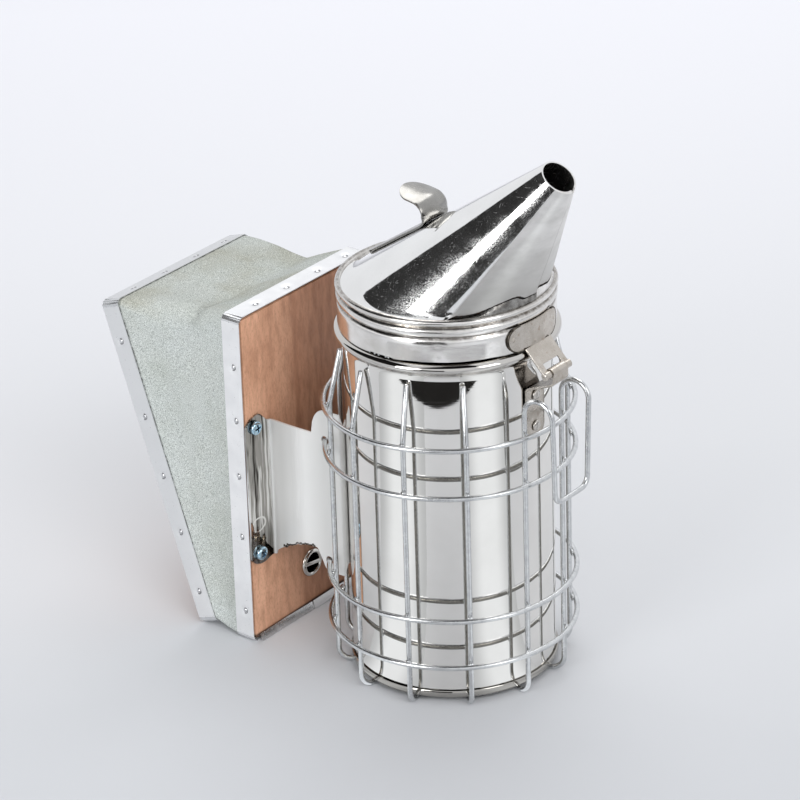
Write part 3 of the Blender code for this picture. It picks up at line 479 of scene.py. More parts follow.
for k in range(1, STAVE_COUNT - 1):
    angle = math.pi / STAVE_COUNT * (2 * k + 1)
    corners = stave_foot(angle)
    corners += [around(STAVE_R, angle, LEAN_START), around(POT_R + WIRE + 0.0003, angle, STAVE_TOP)]
    path = rounded_path(corners, (FOOT_BEND, 2 * FOOT_BEND))
    bm = bmesh.new()
    tube(bm, path, WIRE)
    weld_spots(bm, angle)
    fix(as_object(f"stave_{k:02d}", bm, 60), galvanised, "pot", "galvanised_wire", f"guard_stave_{k:02d}")


# Hanging hook: one wire that makes the two front staves, turns over at the top and comes down again in a
# loop, by which the smoker hangs on the edge of a hive.
HOOK_SHOULDER = 0.1515
HOOK_TURN = 0.0080
HOOK_BOTTOM = 0.1075
HOOK_CORNER = 0.0055
HOOK_TAPER = 0.0020

angle = math.pi / STAVE_COUNT
shank = around(STAVE_R, angle, HOOK_SHOULDER)
over = HOOK_SHOULDER + HOOK_TURN
outside = shank.x + 2 * HOOK_TURN
half_side = stave_foot(angle) + [
    Vector((shank.x, shank.y, over)),
    Vector((outside, shank.y, over)),
    Vector((outside, shank.y - HOOK_TAPER, HOOK_BOTTOM)),
]
other_side = [Vector((p.x, -p.y, p.z)) for p in half_side]
bends = (FOOT_BEND, HOOK_TURN * 0.999, HOOK_TURN * 0.999, HOOK_CORNER)
bm = bmesh.new()
tube(bm, rounded_path(half_side + other_side[::-1], bends + bends[::-1], 12), WIRE)
weld_spots(bm, angle)
weld_spots(bm, -angle)
fix(as_object("hook", bm, 60), galvanised, "pot", "galvanised_wire", "hang_hook")


# Brackets: two stainless sheets folded twice, which hold the bellows off the hot pot. Each has a tab
# screwed to the board, a wall, and a flap that follows the pot. Shears left their lower edges rough.
BOARD_FACE = -POT_R - 0.0371
BRACKET_SHEET = 0.0010
BRACKET_SPREAD = 0.0320
TAB_WIDTH = 0.0184
SCREW_FROM_WALL = 0.0118
TAB_ROUND = 0.0062
SCREW_HEIGHTS = (0.0483, 0.1169)
WALL_LOW = 0.0550
WALL_HIGH = 0.1170
FLAP_LOW = 0.0435
FLAP_HIGH = 0.1305
FLAP_START = 0.0150
FLAP_STOP = math.radians(163.0)
FOLD = 0.0018
SEAT = 0.0003
ROWS = 26
TAB_STEPS = 20
WALL_STEPS = 48
FLAP_STEPS = 8
TAB_RIPPLE = 0.00045
TAB_CRUMPLE = 0.0005
CRUMPLE_TOP = 0.078
WALL_BOW = 0.0004
SHEARED = 0.0006
PAINTED_HIGHLIGHT_LINE = 0.0660
BURRS = 40
BURR_START = 0.0075
BURR_STOP = 0.0270
WALL_PAINTED_HIGHLIGHT = (0.86, 0.86, 0.845)
WALL_SATIN = (0.68, 0.68, 0.665)
WALL_CLOUD = (0.72, 0.715, 0.70)
TAB_PAINTED_DARK_REFLECTION = (0.050, 0.045, 0.040)
TAB_PAINTED_GREY_REFLECTION = (0.40, 0.385, 0.36)
TAB_PAINTED_GLINT = (0.90, 0.89, 0.87)
TAB_FOOT_PAINTED_SHADE = (0.10, 0.09, 0.08)
TAB_PAINTED_RING_REFLECTION = (0.90, 0.89, 0.86)
BURR_BROWN = (0.16, 0.14, 0.115)
BURR_BLACK = (0.020, 0.017, 0.014)


def bracket_edges(point, on_flap):
    """The lower and upper edge of the bracket where its line passes a point."""
    low_screw, high_screw = SCREW_HEIGHTS
    across = (point.y - BRACKET_SPREAD - TAB_WIDTH / 2) / (TAB_WIDTH / 2)
    tab_low = low_screw - TAB_ROUND * 0.8
    if on_flap:
        return FLAP_LOW + TAB_ROUND, FLAP_HIGH - TAB_ROUND
    if across > -1 + 1e-6:
        round_end = TAB_ROUND * math.sqrt(max(0.04, 1 - across * across))
        by_fold = smooth_step(-across)
        low = low_screw - round_end * (1 - by_fold) - TAB_ROUND * 0.8 * by_fold
        return low, high_screw + round_end * (1 - by_fold) + (WALL_HIGH - high_screw) * by_fold
    run = point.x - BOARD_FACE
    to_can = -BOARD_FACE - BRACKET_SPREAD
    along_notch = (run - to_can * 0.50) / (FLAP_START * 0.5)
    rise = smooth_step(along_notch)
    rise_high = math.sqrt(1 - (1 - min(1, max(0, along_notch))) ** 2)
    flare = (1 - min(1, run / (to_can * 0.53))) ** 2
    low = WALL_LOW + (tab_low - WALL_LOW) * flare + (FLAP_LOW - WALL_LOW) * rise
    rough = SHEARED * noise.noise(Vector((run * 520, 0.3, 2.1))) * smooth_step(run / 0.008 - 0.6) * (1 - rise)
    return low + rough, WALL_HIGH + (FLAP_HIGH - WALL_HIGH) * rise_high


def bracket_sheet(side):
    """One bracket as an open sheet, its line seen from above carried up between the two edges."""
    tab_x = BOARD_FACE + SEAT + BRACKET_SHEET / 2
    ring = POT_R + SEAT + BRACKET_SHEET / 2
    meet = math.pi - math.asin(BRACKET_SPREAD / ring)
    corner = around(ring, meet, 0)
    tangent = Vector((-math.sin(meet), math.cos(meet), 0))
    folds = rounded_path(
        (
            (tab_x, BRACKET_SPREAD + 2 * FOLD, 0),
            (tab_x, BRACKET_SPREAD, 0),
            corner,
            corner + tangent * 4 * FOLD,
        ),
        (FOLD, FOLD),
    )
    fold, turn_back = folds[1:10], folds[10:19]
    tab_edge = BRACKET_SPREAD + TAB_WIDTH
    tab = [Vector((tab_x, tab_edge - (TAB_WIDTH - FOLD) * k / TAB_STEPS, 0)) for k in range(TAB_STEPS)]
    wall = [fold[-1].lerp(turn_back[0], k / WALL_STEPS) for k in range(1, WALL_STEPS)]
    start = math.atan2(turn_back[-1].y, turn_back[-1].x)
    flap = [around(ring, start + (FLAP_STOP - start) * k / FLAP_STEPS, 0) for k in range(1, FLAP_STEPS + 1)]
    line = [(p, False) for p in tab + fold + wall + turn_back[:3]]
    line += [(p, True) for p in turn_back[5:] + flap]
    bm = bmesh.new()
    columns = []
    for point, on_flap in line:
        low, high = bracket_edges(point, on_flap)
        column = []
        for row in range(ROWS + 1):
            z = low + (high - low) * row / ROWS
            x, y = point.x, point.y
            on_tab = smooth_step((y - BRACKET_SPREAD - FOLD) / 0.003)
            between = smooth_step((z - low - 0.007) / 0.008) * smooth_step((high - 0.007 - z) / 0.008)
            ripple = 0.5 + 0.5 * noise.noise(Vector((y * 330, z * 28, side * 2.0)))
            crumple = 0.5 + 0.5 * noise.noise(Vector((y * 180, z * 170, side * 5.0)))
            low_half = smooth_step((CRUMPLE_TOP - z) / 0.014)
            x += on_tab * between * (TAB_RIPPLE * ripple + TAB_CRUMPLE * crumple * low_half)
            y += WALL_BOW * math.sin(math.pi * smooth_step((x - BOARD_FACE) / 0.036)) * (0 if on_flap else 1)
            column.append(bm.verts.new((x, side * y, z)))
        columns.append(column)
    bridge(bm, columns, closed=False)
    return bm


def of_sheet(made, thickness, offset=0):
    """Gives an open sheet its thickness."""
    solidify = made.modifiers.new("sheet", "SOLIDIFY")
    solidify.thickness = thickness
    solidify.offset = offset
    return solidify


def swayed(tree, place, amount, scale, detail):
    """A place pushed about by slow noise, so that lines laid on it wander."""
    push = node(tree, "TexNoise", Vector=place, Scale=scale, Detail=detail).outputs["Color"]
    return node(tree, "Mix", {"data_type": "VECTOR"}, Factor=amount, A=place, B=push).outputs["Result"]


satin_bracket, tree, shader, place = blank("satin_stainless_bracket", 1)
parts = node(tree, "SeparateXYZ", Vector=place).outputs
cloud = speckle(tree, place, 40, 5)
# Painted reflection: streaks that paint the tab's mirror reflections, dark, grey and glinting.
reflection_streak = speckle(tree, swayed(tree, place, 0.0022, 70.0, 1.0), (260, 420, 10), 3, 0.6)
off_axis = maths(tree, "ABSOLUTE", parts["Y"])
on_tab = spread(tree, off_axis, 0, 1, BRACKET_SPREAD + 0.0008, BRACKET_SPREAD + 0.0022)
# Painted highlight: the wall is painted brighter along an upright band.
off_painted_highlight = maths(tree, "ABSOLUTE", maths(tree, "ADD", parts["X"], PAINTED_HIGHLIGHT_LINE - POT_X))
wall_tone = mix(tree, spread(tree, off_painted_highlight, 0, 1, 0.001, 0.013), WALL_PAINTED_HIGHLIGHT, WALL_SATIN)
wall_tone = mix(tree, spread(tree, cloud, 0, 0.3, 0.40, 0.70), wall_tone, WALL_CLOUD)
tab_painted_reflection = mix(tree, spread(tree, reflection_streak, 0, 1, 0.40, 0.47), TAB_PAINTED_DARK_REFLECTION, TAB_PAINTED_GREY_REFLECTION)
tab_painted_reflection = mix(tree, spread(tree, reflection_streak, 0, 1, 0.53, 0.60), tab_painted_reflection, TAB_PAINTED_GLINT)
# Painted shade: the tab is painted darker toward its foot.
tab_painted_reflection = mix(tree, spread(tree, parts["Z"], 0.6, 0, 0.0560, 0.0700), tab_painted_reflection, TAB_FOOT_PAINTED_SHADE)
# Painted reflection: a bright ring on the tab stands for a guard ring reflected in it.
curl = node(tree, "Mapping", Vector=place, Scale=(0, 200, 278), Location=(0, 8.9, -17.9)).outputs["Vector"]
off_ring_reflection = maths(tree, "SUBTRACT", maths(tree, "LENGTH", curl, kind="VectorMath"), 1.0)
off_ring_reflection = maths(tree, "ABSOLUTE", off_ring_reflection)
tab_painted_reflection = mix(tree, spread(tree, off_ring_reflection, 0.9, 0, 0.06, 0.16), tab_painted_reflection, TAB_PAINTED_RING_REFLECTION)
plug(
    tree, shader,
    Base_Color=mix(tree, on_tab, wall_tone, tab_painted_reflection),
    Metallic=spread(tree, on_tab, 0.42, 1.0),
    Roughness=node(tree, "Mix", Factor=on_tab, A=0.42, B=0.09).outputs["Result"],
    Normal=relief(tree, cloud, 0.00012),
)
burnt_burr = metal(
    "burnt_burr", BURR_BROWN, BURR_BLACK,
    patch=700, smooth=0.45, rough=0.65, grain=900, groove=0.00002, wave=500, wave_depth=0.00005,
)
ring_way = math.sqrt(GUARD_R**2 - BRACKET_SPREAD**2)
for side, name in ((-1, "right"), (1, "left")):
    bracket = as_object(f"bracket_sheet_{name}", bracket_sheet(side), 30)
    of_sheet(bracket, BRACKET_SHEET).use_even_offset = True
    holes = []
    for height in RING_HEIGHTS[1:3]:
        hole = turned([(0, -0.003), (WIRE * 1.7, -0.003), (WIRE * 1.7, 0.003), (0, 0.003)], 24, ring=False)
        holes.append(as_object("hole", facing(hole, (-ring_way, side * BRACKET_SPREAD, height), (0, 1, 0))))
    settled(bracket, holes)
    fix(bracket, satin_bracket, "pot", "polished_stainless", f"bracket_{name}")
    bm = bmesh.new()
    for k in range(BURRS):
        run = BURR_START + (BURR_STOP - BURR_START) * k / (BURRS - 1)
        spot = Vector((BOARD_FACE + run, side * BRACKET_SPREAD, 0))
        spot.z = bracket_edges(Vector((spot.x, BRACKET_SPREAD, 0)), False)[0]
        chip = noise.noise(Vector((run * 900, side * 3.0, 0.7)))
        spot.z += 0.0004 + 0.0008 * chip
        blob(bm, spot, 0, (0.0006 + 0.0004 * abs(chip), 0.0013, 0.0005 + 0.0010 * abs(chip)), 1, 1)
    fix(as_object(f"bracket_burr_{name}", bm, 20), burnt_burr, "pot", "polished_stainless")


# Bracket screws: four pan-head wood screws that hold the brackets' tabs to the front board. They are of steel
# with a cross pressed into the head and plated in blue zinc, and the recess is painted dark as painted shade.
SCREW_HEAD = 0.0036
SCREW_HEAD_HEIGHT = 0.0023
RECESS = 0.0013
RECESS_ARM = 0.0023
RECESS_HALF = 0.00042
HEAD_RINGS = 26
HEAD_SPOKES = 96
BLUE_BRIGHT = (0.56, 0.73, 0.83)
BLUE_DEEP = (0.36, 0.55, 0.70)
RECESS_PAINTED_SHADE = (0.03, 0.05, 0.08)

blue_zinc = metal(
    "blue_zinc_plate", BLUE_BRIGHT, BLUE_DEEP,
    patch=500, smooth=0.12, rough=0.26, grain=900, groove=0.000004, wave=300, wave_depth=0.00002,
)
tree, shader, plate_tone = laid_tone(blue_zinc)
# Painted shade: the cross recess is painted dark.
sunk = node(tree, "Attribute", {"attribute_name": "sunk"}).outputs["Fac"]
plug(tree, shader, Base_Color=mix(tree, spread(tree, sunk, 0, 0.92, 0.15, 0.75), plate_tone, RECESS_PAINTED_SHADE))


def screw_head(turn):
    """A domed head with a cross pressed into it, drawn round Z from its seat up."""
    bm = bmesh.new()
    recess = bm.verts.layers.float.new("sunk")
    loops = []
    for ring in range(1, HEAD_RINGS + 1):
        reach = ring / HEAD_RINGS
        loop = []
        for spoke in range(HEAD_SPOKES):
            a = math.tau * spoke / HEAD_SPOKES
            x, y = SCREW_HEAD * reach * math.cos(a + turn), SCREW_HEAD * reach * math.sin(a + turn)
            height = SCREW_HEAD_HEIGHT * (0.42 + 0.58 * math.sqrt(max(0, 1 - reach**2.6)))
            arm = min(abs(x), abs(y))
            sunk = smooth_step((RECESS_HALF * 1.5 - arm) / (RECESS_HALF * 0.8))
            sunk *= smooth_step((RECESS_ARM - max(abs(x), abs(y))) / (RECESS_ARM * 0.3))
            vert = bm.verts.new(around(SCREW_HEAD * reach, a, height - RECESS * sunk))
            vert[recess] = sunk
            loop.append(vert)
        loops.append(loop)
    loops.append([bm.verts.new((v.co.x, v.co.y, 0)) for v in loops[-1]])
    middle = bm.verts.new((0, 0, SCREW_HEAD_HEIGHT - RECESS))
    middle[recess] = 1
    for k in range(HEAD_SPOKES):
        j = (k + 1) % HEAD_SPOKES
        bm.faces.new((middle, loops[0][k], loops[0][j]))
        for loop, following in zip(loops, loops[1:]):
            bm.faces.new((loop[k], following[k], following[j], loop[j]))
    bm.faces.new(loops[-1])
    return bm


head_seat = BOARD_FACE + BRACKET_SHEET + 2 * SEAT
for turn, (side, name) in enumerate(((-1, "right"), (1, "left"))):
    for height, level in zip(SCREW_HEIGHTS, ("lower", "upper")):
        place = (head_seat, side * (BRACKET_SPREAD + SCREW_FROM_WALL), height)
        head = facing(screw_head(0.4 + 9 * height + turn), place, (1, 0, 0))
        fix(as_object(f"screw_{name}_{level}", head), blue_zinc, "pot", "blue_zinc", f"bracket_screw_{name}_{level}")


# Bellows boards: two leaves of thin plywood faced with a red-brown veneer whose grain runs upright. The front
# one is screwed to the brackets. Its face is bare wood with pores, darker streaks and a joint in the veneer. It is
# painted darker toward the pot as painted shadow of the pot, and along its foot as painted shade behind the lip.
BOARD = 0.0100
FRONT_INNER = BOARD_FACE - BOARD
FRONT_HEIGHT = 0.1770
REAR_HEIGHT = 0.1725
REAR_TILT = math.radians(18.3)
BOTTOM_GAP = 0.0149
REAR_FOOT = 0.0004 + BOARD * math.sin(REAR_TILT)
VENEER_JOINT_Y = -0.0065
VENEER_LIGHT = (0.880, 0.507, 0.331)
VENEER_MID = (0.747, 0.407, 0.258)
VENEER_DARK = (0.400, 0.186, 0.106)
VENEER_MOTTLE = (0.500, 0.250, 0.148)
PAINTED_SHADOW_WOOD_LIGHT = (0.440, 0.212, 0.122)
PAINTED_SHADOW_WOOD_DEEP = (0.280, 0.124, 0.068)
BOARD_FOOT_PAINTED_SHADE = (0.050, 0.030, 0.022)


def front_point(depth, y, height):
    """A point of the front board: depth outward from its inner face, height up from the ground."""
    return Vector((FRONT_INNER + depth, y, height))


def rear_point(depth, y, height):
    """A point of the rear board: depth outward from its inner face, height up along the board."""
    foot = Vector((FRONT_INNER - BOTTOM_GAP, y, REAR_FOOT))
    out = Vector((-math.cos(REAR_TILT), 0, -math.sin(REAR_TILT)))
    return foot + out * depth + Vector((-math.sin(REAR_TILT), 0, math.cos(REAR_TILT))) * height


veneer, tree, shader, place = blank("red_brown_veneer", 0)
bent = swayed(tree, place, 0.004, 14.0, 2.0)
parts = node(tree, "SeparateXYZ", Vector=bent).outputs
broad = speckle(tree, bent, (30, 60, 9), 4)
mottle = speckle(tree, bent, (70, 95, 48), 4, 0.6)
figure = speckle(tree, bent, (150, 260, 60), 5, 0.65)
pores = speckle(tree, bent, (900, 1500, 480), 3, 0.7)
wood = mix(tree, spread(tree, broad, 0, 1, 0.36, 0.60), VENEER_LIGHT, VENEER_MID)
wood = mix(tree, spread(tree, mottle, 0, 0.5, 0.48, 0.68), wood, VENEER_MOTTLE)
wood = mix(tree, spread(tree, figure, 0, 0.55, 0.46, 0.74), wood, VENEER_DARK)
wood = mix(tree, spread(tree, pores, 0, 0.60, 0.50, 0.74), wood, VENEER_DARK)
from_joint = maths(tree, "SUBTRACT", parts["Y"], VENEER_JOINT_Y)
joint_line = spread(tree, maths(tree, "ABSOLUTE", from_joint), 0.6, 0, 0.0003, 0.0026)
wood = mix(tree, joint_line, wood, VENEER_DARK)
# Painted shadow of the pot: the wood is painted darker toward the pot, from a little before the veneer's joint.
painted_shadow_wood = mix(tree, spread(tree, figure, 0, 1, 0.36, 0.66), PAINTED_SHADOW_WOOD_LIGHT, PAINTED_SHADOW_WOOD_DEEP)
wood = mix(tree, spread(tree, from_joint, 0, 0.85, -0.026, 0.016), wood, painted_shadow_wood)
# Painted shade: the wood is painted near black along its foot, behind the lip.
wood = mix(tree, spread(tree, parts["Z"], 0.9, 0, 0.0052, 0.0062), wood, BOARD_FOOT_PAINTED_SHADE)
plug(
    tree, shader,
    Base_Color=wood,
    Roughness=spread(tree, pores, 0.46, 0.70, 0.35, 0.75),
    Specular_IOR_Level=0.35,
    Normal=relief(tree, pores, 0.00008),
)
for name in ("front_board", "rear_board"):
    coat(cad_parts[name], veneer)


# Bellows leather: one strip of grained grey-green leather round both boards, tacked under the edge bands. The
# air pressed out of it has drawn its sides in and left a valley and a crease across the top, nearer the front.
BELLOWS_HALF = 0.0507
BAND = 0.0005
HIDE = 0.0008
TUCK = 0.0003
BAND_CORNER = 0.0040
BAND_OVERHANG = 0.0008
HIDE_EDGE = BOARD - 0.0015
TOP_VALLEY = 0.0075
VALLEY_PLACE = 0.38
VALLEY_FADE = 0.0420
CREASE_DEPTH = 0.0013
CREASE_HALF = 0.045
SIDE_DRAW = 0.0022
BOTTOM_SAG = 0.0012
SLACK_NEAR = 0.0110
SLACK_FAR = 0.0012
TOP_WAVE = 0.0012
SIDE_WAVE = 0.0009
LEATHER_COOL = (0.585, 0.622, 0.605)
LEATHER_TOP_PAINTED_SHADE = (0.530, 0.552, 0.512)
LEATHER_CLOUD = (0.470, 0.505, 0.462)
LEATHER_STAIN = (0.430, 0.430, 0.362)
LEATHER_PIT = (0.150, 0.170, 0.160)
LEATHER_PEAK = (0.800, 0.835, 0.812)
LEATHER_SHADOW = (0.060, 0.065, 0.060)


def board_edge(half_width, low, high, rounds, along=(30, 48, 30, 48), steps=9):
    """(y, height) points round a board: bottom run, +Y side, top run, -Y side, each with the corner that ends it."""
    corners = ((half_width, low), (half_width, high), (-half_width, high), (-half_width, low))
    centres = []
    for (y, h), size in zip(corners, rounds):
        centres.append(Vector((y - math.copysign(size, y), h + (size if h == low else -size))))
    points = []
    for k, count in enumerate(along):
        way = math.radians(90 * k - 90)
        out = Vector((math.cos(way), math.sin(way)))
        start = centres[k - 1] + out * rounds[k - 1]
        stop = centres[k] + out * rounds[k]
        points += [start.lerp(stop, j / count) for j in range(count)]
        for j in range(steps):
            a = way + math.pi / 2 * j / steps
            points.append(centres[k] + rounds[k] * Vector((math.cos(a), math.sin(a))))
    return points


def crease(share, y):
    """How deep in the crease a point of the top is, from 0 to 1. It runs from the near edge into the valley."""
    along = (y + BELLOWS_HALF) / BELLOWS_HALF
    middle = 0.30 + 0.09 * min(1, along)
    ends = smooth_step(along / 0.06) * smooth_step((0.95 - along) / 0.5)
    return ends * math.exp(-(((share - middle) / CREASE_HALF) ** 2))


def leather_loop(inset, share, depth=-BAND_OVERHANG):
    """A loop of the leather: share 0 is at the front board, 1 at the rear, and between them it is drawn in."""
    free = math.sin(math.pi * share)
    tight = BAND_CORNER - inset
    rounds = (tight, tight + SLACK_FAR * free, tight + SLACK_NEAR * free, tight)
    front = board_edge(BELLOWS_HALF - inset, inset, FRONT_HEIGHT - inset, rounds)
    rear = board_edge(BELLOWS_HALF - inset, inset, REAR_HEIGHT - inset, rounds)
    valley = share / VALLEY_PLACE if share < VALLEY_PLACE else ((1 - share) / (1 - VALLEY_PLACE)) ** 1.5
    loop = []
    for (y, h), (rear_y, rear_h) in zip(front, rear):
        point = front_point(depth, y, h).lerp(rear_point(depth, rear_y, rear_h), share)
        level = h / FRONT_HEIGHT
        out = abs(y) / BELLOWS_HALF
        point.y -= math.copysign(SIDE_DRAW, y) * free * smooth_step(4 * min(level, 1 - level) + 0.4) * out
        if level > 0.5:
            deep = 0.2 + 0.8 * smooth_step((y + BELLOWS_HALF) / VALLEY_FADE)
            point.z -= TOP_VALLEY * deep * valley * smooth_step(10 * (level - 0.9))
            on_top = smooth_step(20 * (level - 0.95))
            point.z -= CREASE_DEPTH * crease(share, y) * on_top
            point.z += TOP_WAVE * free * noise.noise(Vector((point.x * 55, y * 38, 3))) * on_top
        else:
            point.z -= BOTTOM_SAG * free * smooth_step(10 * (0.1 - level))
        wave = noise.noise(Vector((point.x * 45, point.z * 26, y * 20)))
        point.y += SIDE_WAVE * free * wave * smooth_step(6 * out - 5)
        loop.append(point)
    return loop


def leather_skin():
    """The strip as a closed skin, and each point's share of the way from the front board to the rear."""
    outside = BAND + TUCK
    shares = [k / 36 for k in range(36)] + [1 - 0.0011 / 0.06, 1]
    sides = []
    for inset in (outside, outside + HIDE):
        loops = [(0.0, leather_loop(inset, 0, HIDE_EDGE))]
        loops += [(share, leather_loop(inset, share)) for share in shares]
        loops += [(1.0, leather_loop(inset, 1, HIDE_EDGE))]
        sides.append(loops)
    loops = sides[0] + sides[1][::-1]
    bm = bmesh.new()
    rim = bm.verts.layers.float.new("rim")
    rings = [[bm.verts.new(point) for point in loop] for _, loop in loops]
    for ring, (share, _) in zip(rings, loops):
        for vert in ring:
            top = smooth_step(20 * (vert.co.z / FRONT_HEIGHT - 0.90))
            vert[rim] = 1 if share == 1 else 0.30 * crease(share, vert.co.y) * top
    bridge(bm, rings + rings[:1])
    return bm, [share for share, loop in loops for _ in loop]


def follow_both_boards(made):
    """Bakes a piece's place into its mesh."""
    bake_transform(made)


leather, tree, shader, place = blank("grained_leather", 0)
cloud = speckle(tree, place, 32, 5, 0.6)
pebble = node(tree, "TexVoronoi", {"feature": "DISTANCE_TO_EDGE"}, Vector=place, Scale=1050.0).outputs["Distance"]
pits = speckle(tree, place, 2450, 2, 0.8)
stain = speckle(tree, place, (26, 30, 26), 3, 0.6)
upward = node(tree, "SeparateXYZ", Vector=node(tree, "NewGeometry").outputs["Normal"]).outputs["Z"]
# Painted shade: faces turned up are painted warmer and darker than the sides.
hide = mix(tree, spread(tree, upward, 0, 0.8, 0.2, 0.9), LEATHER_COOL, LEATHER_TOP_PAINTED_SHADE)
hide = mix(tree, spread(tree, cloud, 0, 0.8, 0.42, 0.72), hide, LEATHER_CLOUD)
stained = maths(
    tree, "MULTIPLY", spread(tree, stain, 0, 1.0, 0.40, 0.62), spread(tree, upward, 0.2, 1, 0.2, 0.8)
)
hide = mix(tree, stained, hide, LEATHER_STAIN)
hide = mix(tree, spread(tree, pits, 0, 0.78, 0.49, 0.62), hide, LEATHER_PIT)
hide = mix(tree, spread(tree, pits, 0.68, 0, 0.34, 0.48), hide, LEATHER_PEAK)
by_rim = node(tree, "Attribute", {"attribute_name": "rim"}).outputs["Fac"]
broken = spread(tree, speckle(tree, place, 420, 2), 0.15, 0.95, 0.40, 0.56)
hide = mix(tree, maths(tree, "MULTIPLY", by_rim, broken), hide, LEATHER_SHADOW)
grain = relief(tree, spread(tree, pebble, 0, 1, 0.0, 0.25), 0.00010)
plug(
    tree, shader,
    Base_Color=hide,
    Roughness=spread(tree, pits, 0.62, 0.85, 0.3, 0.7),
    Specular_IOR_Level=0.3,
    Normal=relief(tree, pits, 0.00012, grain),
)

strip, strip_shares = leather_skin()
hide_strip = as_object("leather_strip", strip, 70)
hide_strip.data.materials.append(leather)
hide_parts("bellows_leather")
follow_both_boards(hide_strip)


# Edge bands: strips of soft aluminium wrapped round both boards over the leather and nailed with small tacks.
# They are bright, a little dented where the hammer fell, and bent sharply over the boards' corners. Along the
# foot of the front board the strip is turned over the face as a lip, with a second end lapped on it.
TACK = 0.0013
TACK_RIM = 0.0015
TACK_RIM_HALF = 0.00026
TACK_RIM_SUNK = 0.00054
POCKET = 0.0030
FRONT_TACKS = (0.0168, 0.058, 0.0912, 0.1213, 0.1499)
REAR_TACKS = (0.0173, 0.0492, 0.0794, 0.1109, 0.1508)
TOP_TACKS = (-0.0317, -0.0080, 0.0161, 0.0380)
LIP_RISE = 0.0040
LIP_REACH = 0.0026
LIP_GAP = 0.0010
LAP_START = -0.0052
LIP_STEPS = 40
POCKET_DEPTH = 0.0007
TACK_SUNK = 0.00085
BAND_RIPPLE = 0.00004
BAND_WRINKLE = 0.00022
BAND_SETBACK = 0.0001
BAND_COLUMNS = 12
ALUMINIUM_BRIGHT = (0.800, 0.804, 0.812)
ALUMINIUM_DULL = (0.735, 0.741, 0.752)
ALUMINIUM_REAR = (0.62, 0.63, 0.64)
TACK_BRIGHT = (0.74, 0.745, 0.755)
TACK_TARNISH = (0.50, 0.505, 0.515)
GAP_SHADE_GREY = (0.44, 0.44, 0.45)
GAP_SHADE_DARK = (0.26, 0.26, 0.265)
LIP_BRIGHT = (0.74, 0.745, 0.75)
LIP_DULL = (0.50, 0.505, 0.51)

aluminium, tree, shader, place = blank("bright_aluminium", 1)
fold = node(tree, "Attribute", {"attribute_name": "bend"}).outputs["Fac"]
cloud = speckle(tree, place, 90, 4)
flecks = speckle(tree, place, 900, 3, 0.7)
along_x = node(tree, "SeparateXYZ", Vector=place).outputs["X"]
strip_tone = mix(tree, spread(tree, cloud, 0, 1, 0.35, 0.66), ALUMINIUM_BRIGHT, ALUMINIUM_DULL)
by_rear = spread(tree, along_x, 0.8, 0, POT_X - 0.135, POT_X - 0.105)
plug(
    tree, shader,
    Base_Color=mix(tree, by_rear, strip_tone, ALUMINIUM_REAR),
    Metallic=spread(tree, fold, 0.45, 0.85),
    Roughness=maths(
        tree, "SUBTRACT", spread(tree, flecks, 0.36, 0.24, 0.55, 0.75), spread(tree, fold, 0, 0.12)
    ),
    Normal=relief(tree, cloud, 0.00005),
)

tack_steel = metal(
    "tarnished_tack", TACK_BRIGHT, TACK_TARNISH,
    patch=700, smooth=0.20, rough=0.34, grain=900, groove=0.000004, wave=300, wave_depth=0.00002,
)
# Painted shade: the finish of the dark arcs round the tack heads.
tack_gap = metal(
    "shadowed_tack_gap", GAP_SHADE_GREY, GAP_SHADE_DARK,
    patch=900, smooth=0.45, rough=0.60, grain=900, groove=0.000004, wave=300, wave_depth=0.00002,
)


def tack_places(height, side_tacks):
    """(y, height) of every tack, and the way it faces."""
    places = [((side * BELLOWS_HALF, h), (side, 0)) for side in (-1, 1) for h in side_tacks]
    return places + [((y, height), (0, 1)) for y in TOP_TACKS]


def band_strip(place_point, height, tacks):
    """The strip as an open sheet round the board, with a shallow pocket at each tack."""
    edge = board_edge(BELLOWS_HALF, 0, height, (BAND_CORNER,) * 4, (60, 130, 60, 130), 24)
    bm = bmesh.new()
    bend = bm.verts.layers.float.new("bend")
    rows = []
    for y, h in edge:
        out = Vector((y - max(-BELLOWS_HALF + BAND_CORNER, min(BELLOWS_HALF - BAND_CORNER, y)), 0, 0))
        out.y = h - max(BAND_CORNER, min(height - BAND_CORNER, h))
        out.normalize()
        folded = smooth_step(4 * abs(out.x * out.y))
        wrinkle = BAND_WRINKLE * folded * math.sin(12 * math.atan2(out.y, out.x))
        row = []
        for k in range(BAND_COLUMNS + 1):
            depth = -BAND_OVERHANG + (BOARD + BAND_OVERHANG) * k / BAND_COLUMNS
            push = BAND_RIPPLE * (noise.noise(Vector((y * 90, h * 90, depth * 160))) - 1)
            push += wrinkle * (0.3 + 0.7 * k / BAND_COLUMNS)
            push -= BAND_SETBACK
            for (tack_y, tack_h), _ in tacks:
                apart = math.dist((y, h, depth), (tack_y, tack_h, BOARD * 0.5))
                push -= POCKET_DEPTH * math.exp(-((apart / POCKET) ** 2) * 2)
            vert = bm.verts.new(place_point(depth, y + out.x * push, h + out.y * push))
            vert[bend] = folded
            row.append(vert)
        rows.append(row)
    bridge(bm, rows + rows[:1], closed=False)
    return bm


def tack_heads(place_point, tacks):
    """The low domes of the tacks, driven in a little below the strip."""
    bm = bmesh.new()
    for (y, h), (out_y, out_h) in tacks:
        foot = place_point(BOARD * 0.5, y, h)
        away = place_point(BOARD * 0.5, y + out_y * 0.001, h + out_h * 0.001) - foot
        size = Matrix.Diagonal((TACK, TACK, TACK * 0.5, 1))
        turn = away.to_track_quat("Z", "Y").to_matrix().to_4x4()
        sunk = Matrix.Translation(foot - away.normalized() * TACK_SUNK)
        bmesh.ops.create_uvsphere(bm, u_segments=18, v_segments=10, radius=1, matrix=sunk @ turn @ size)
    return bm


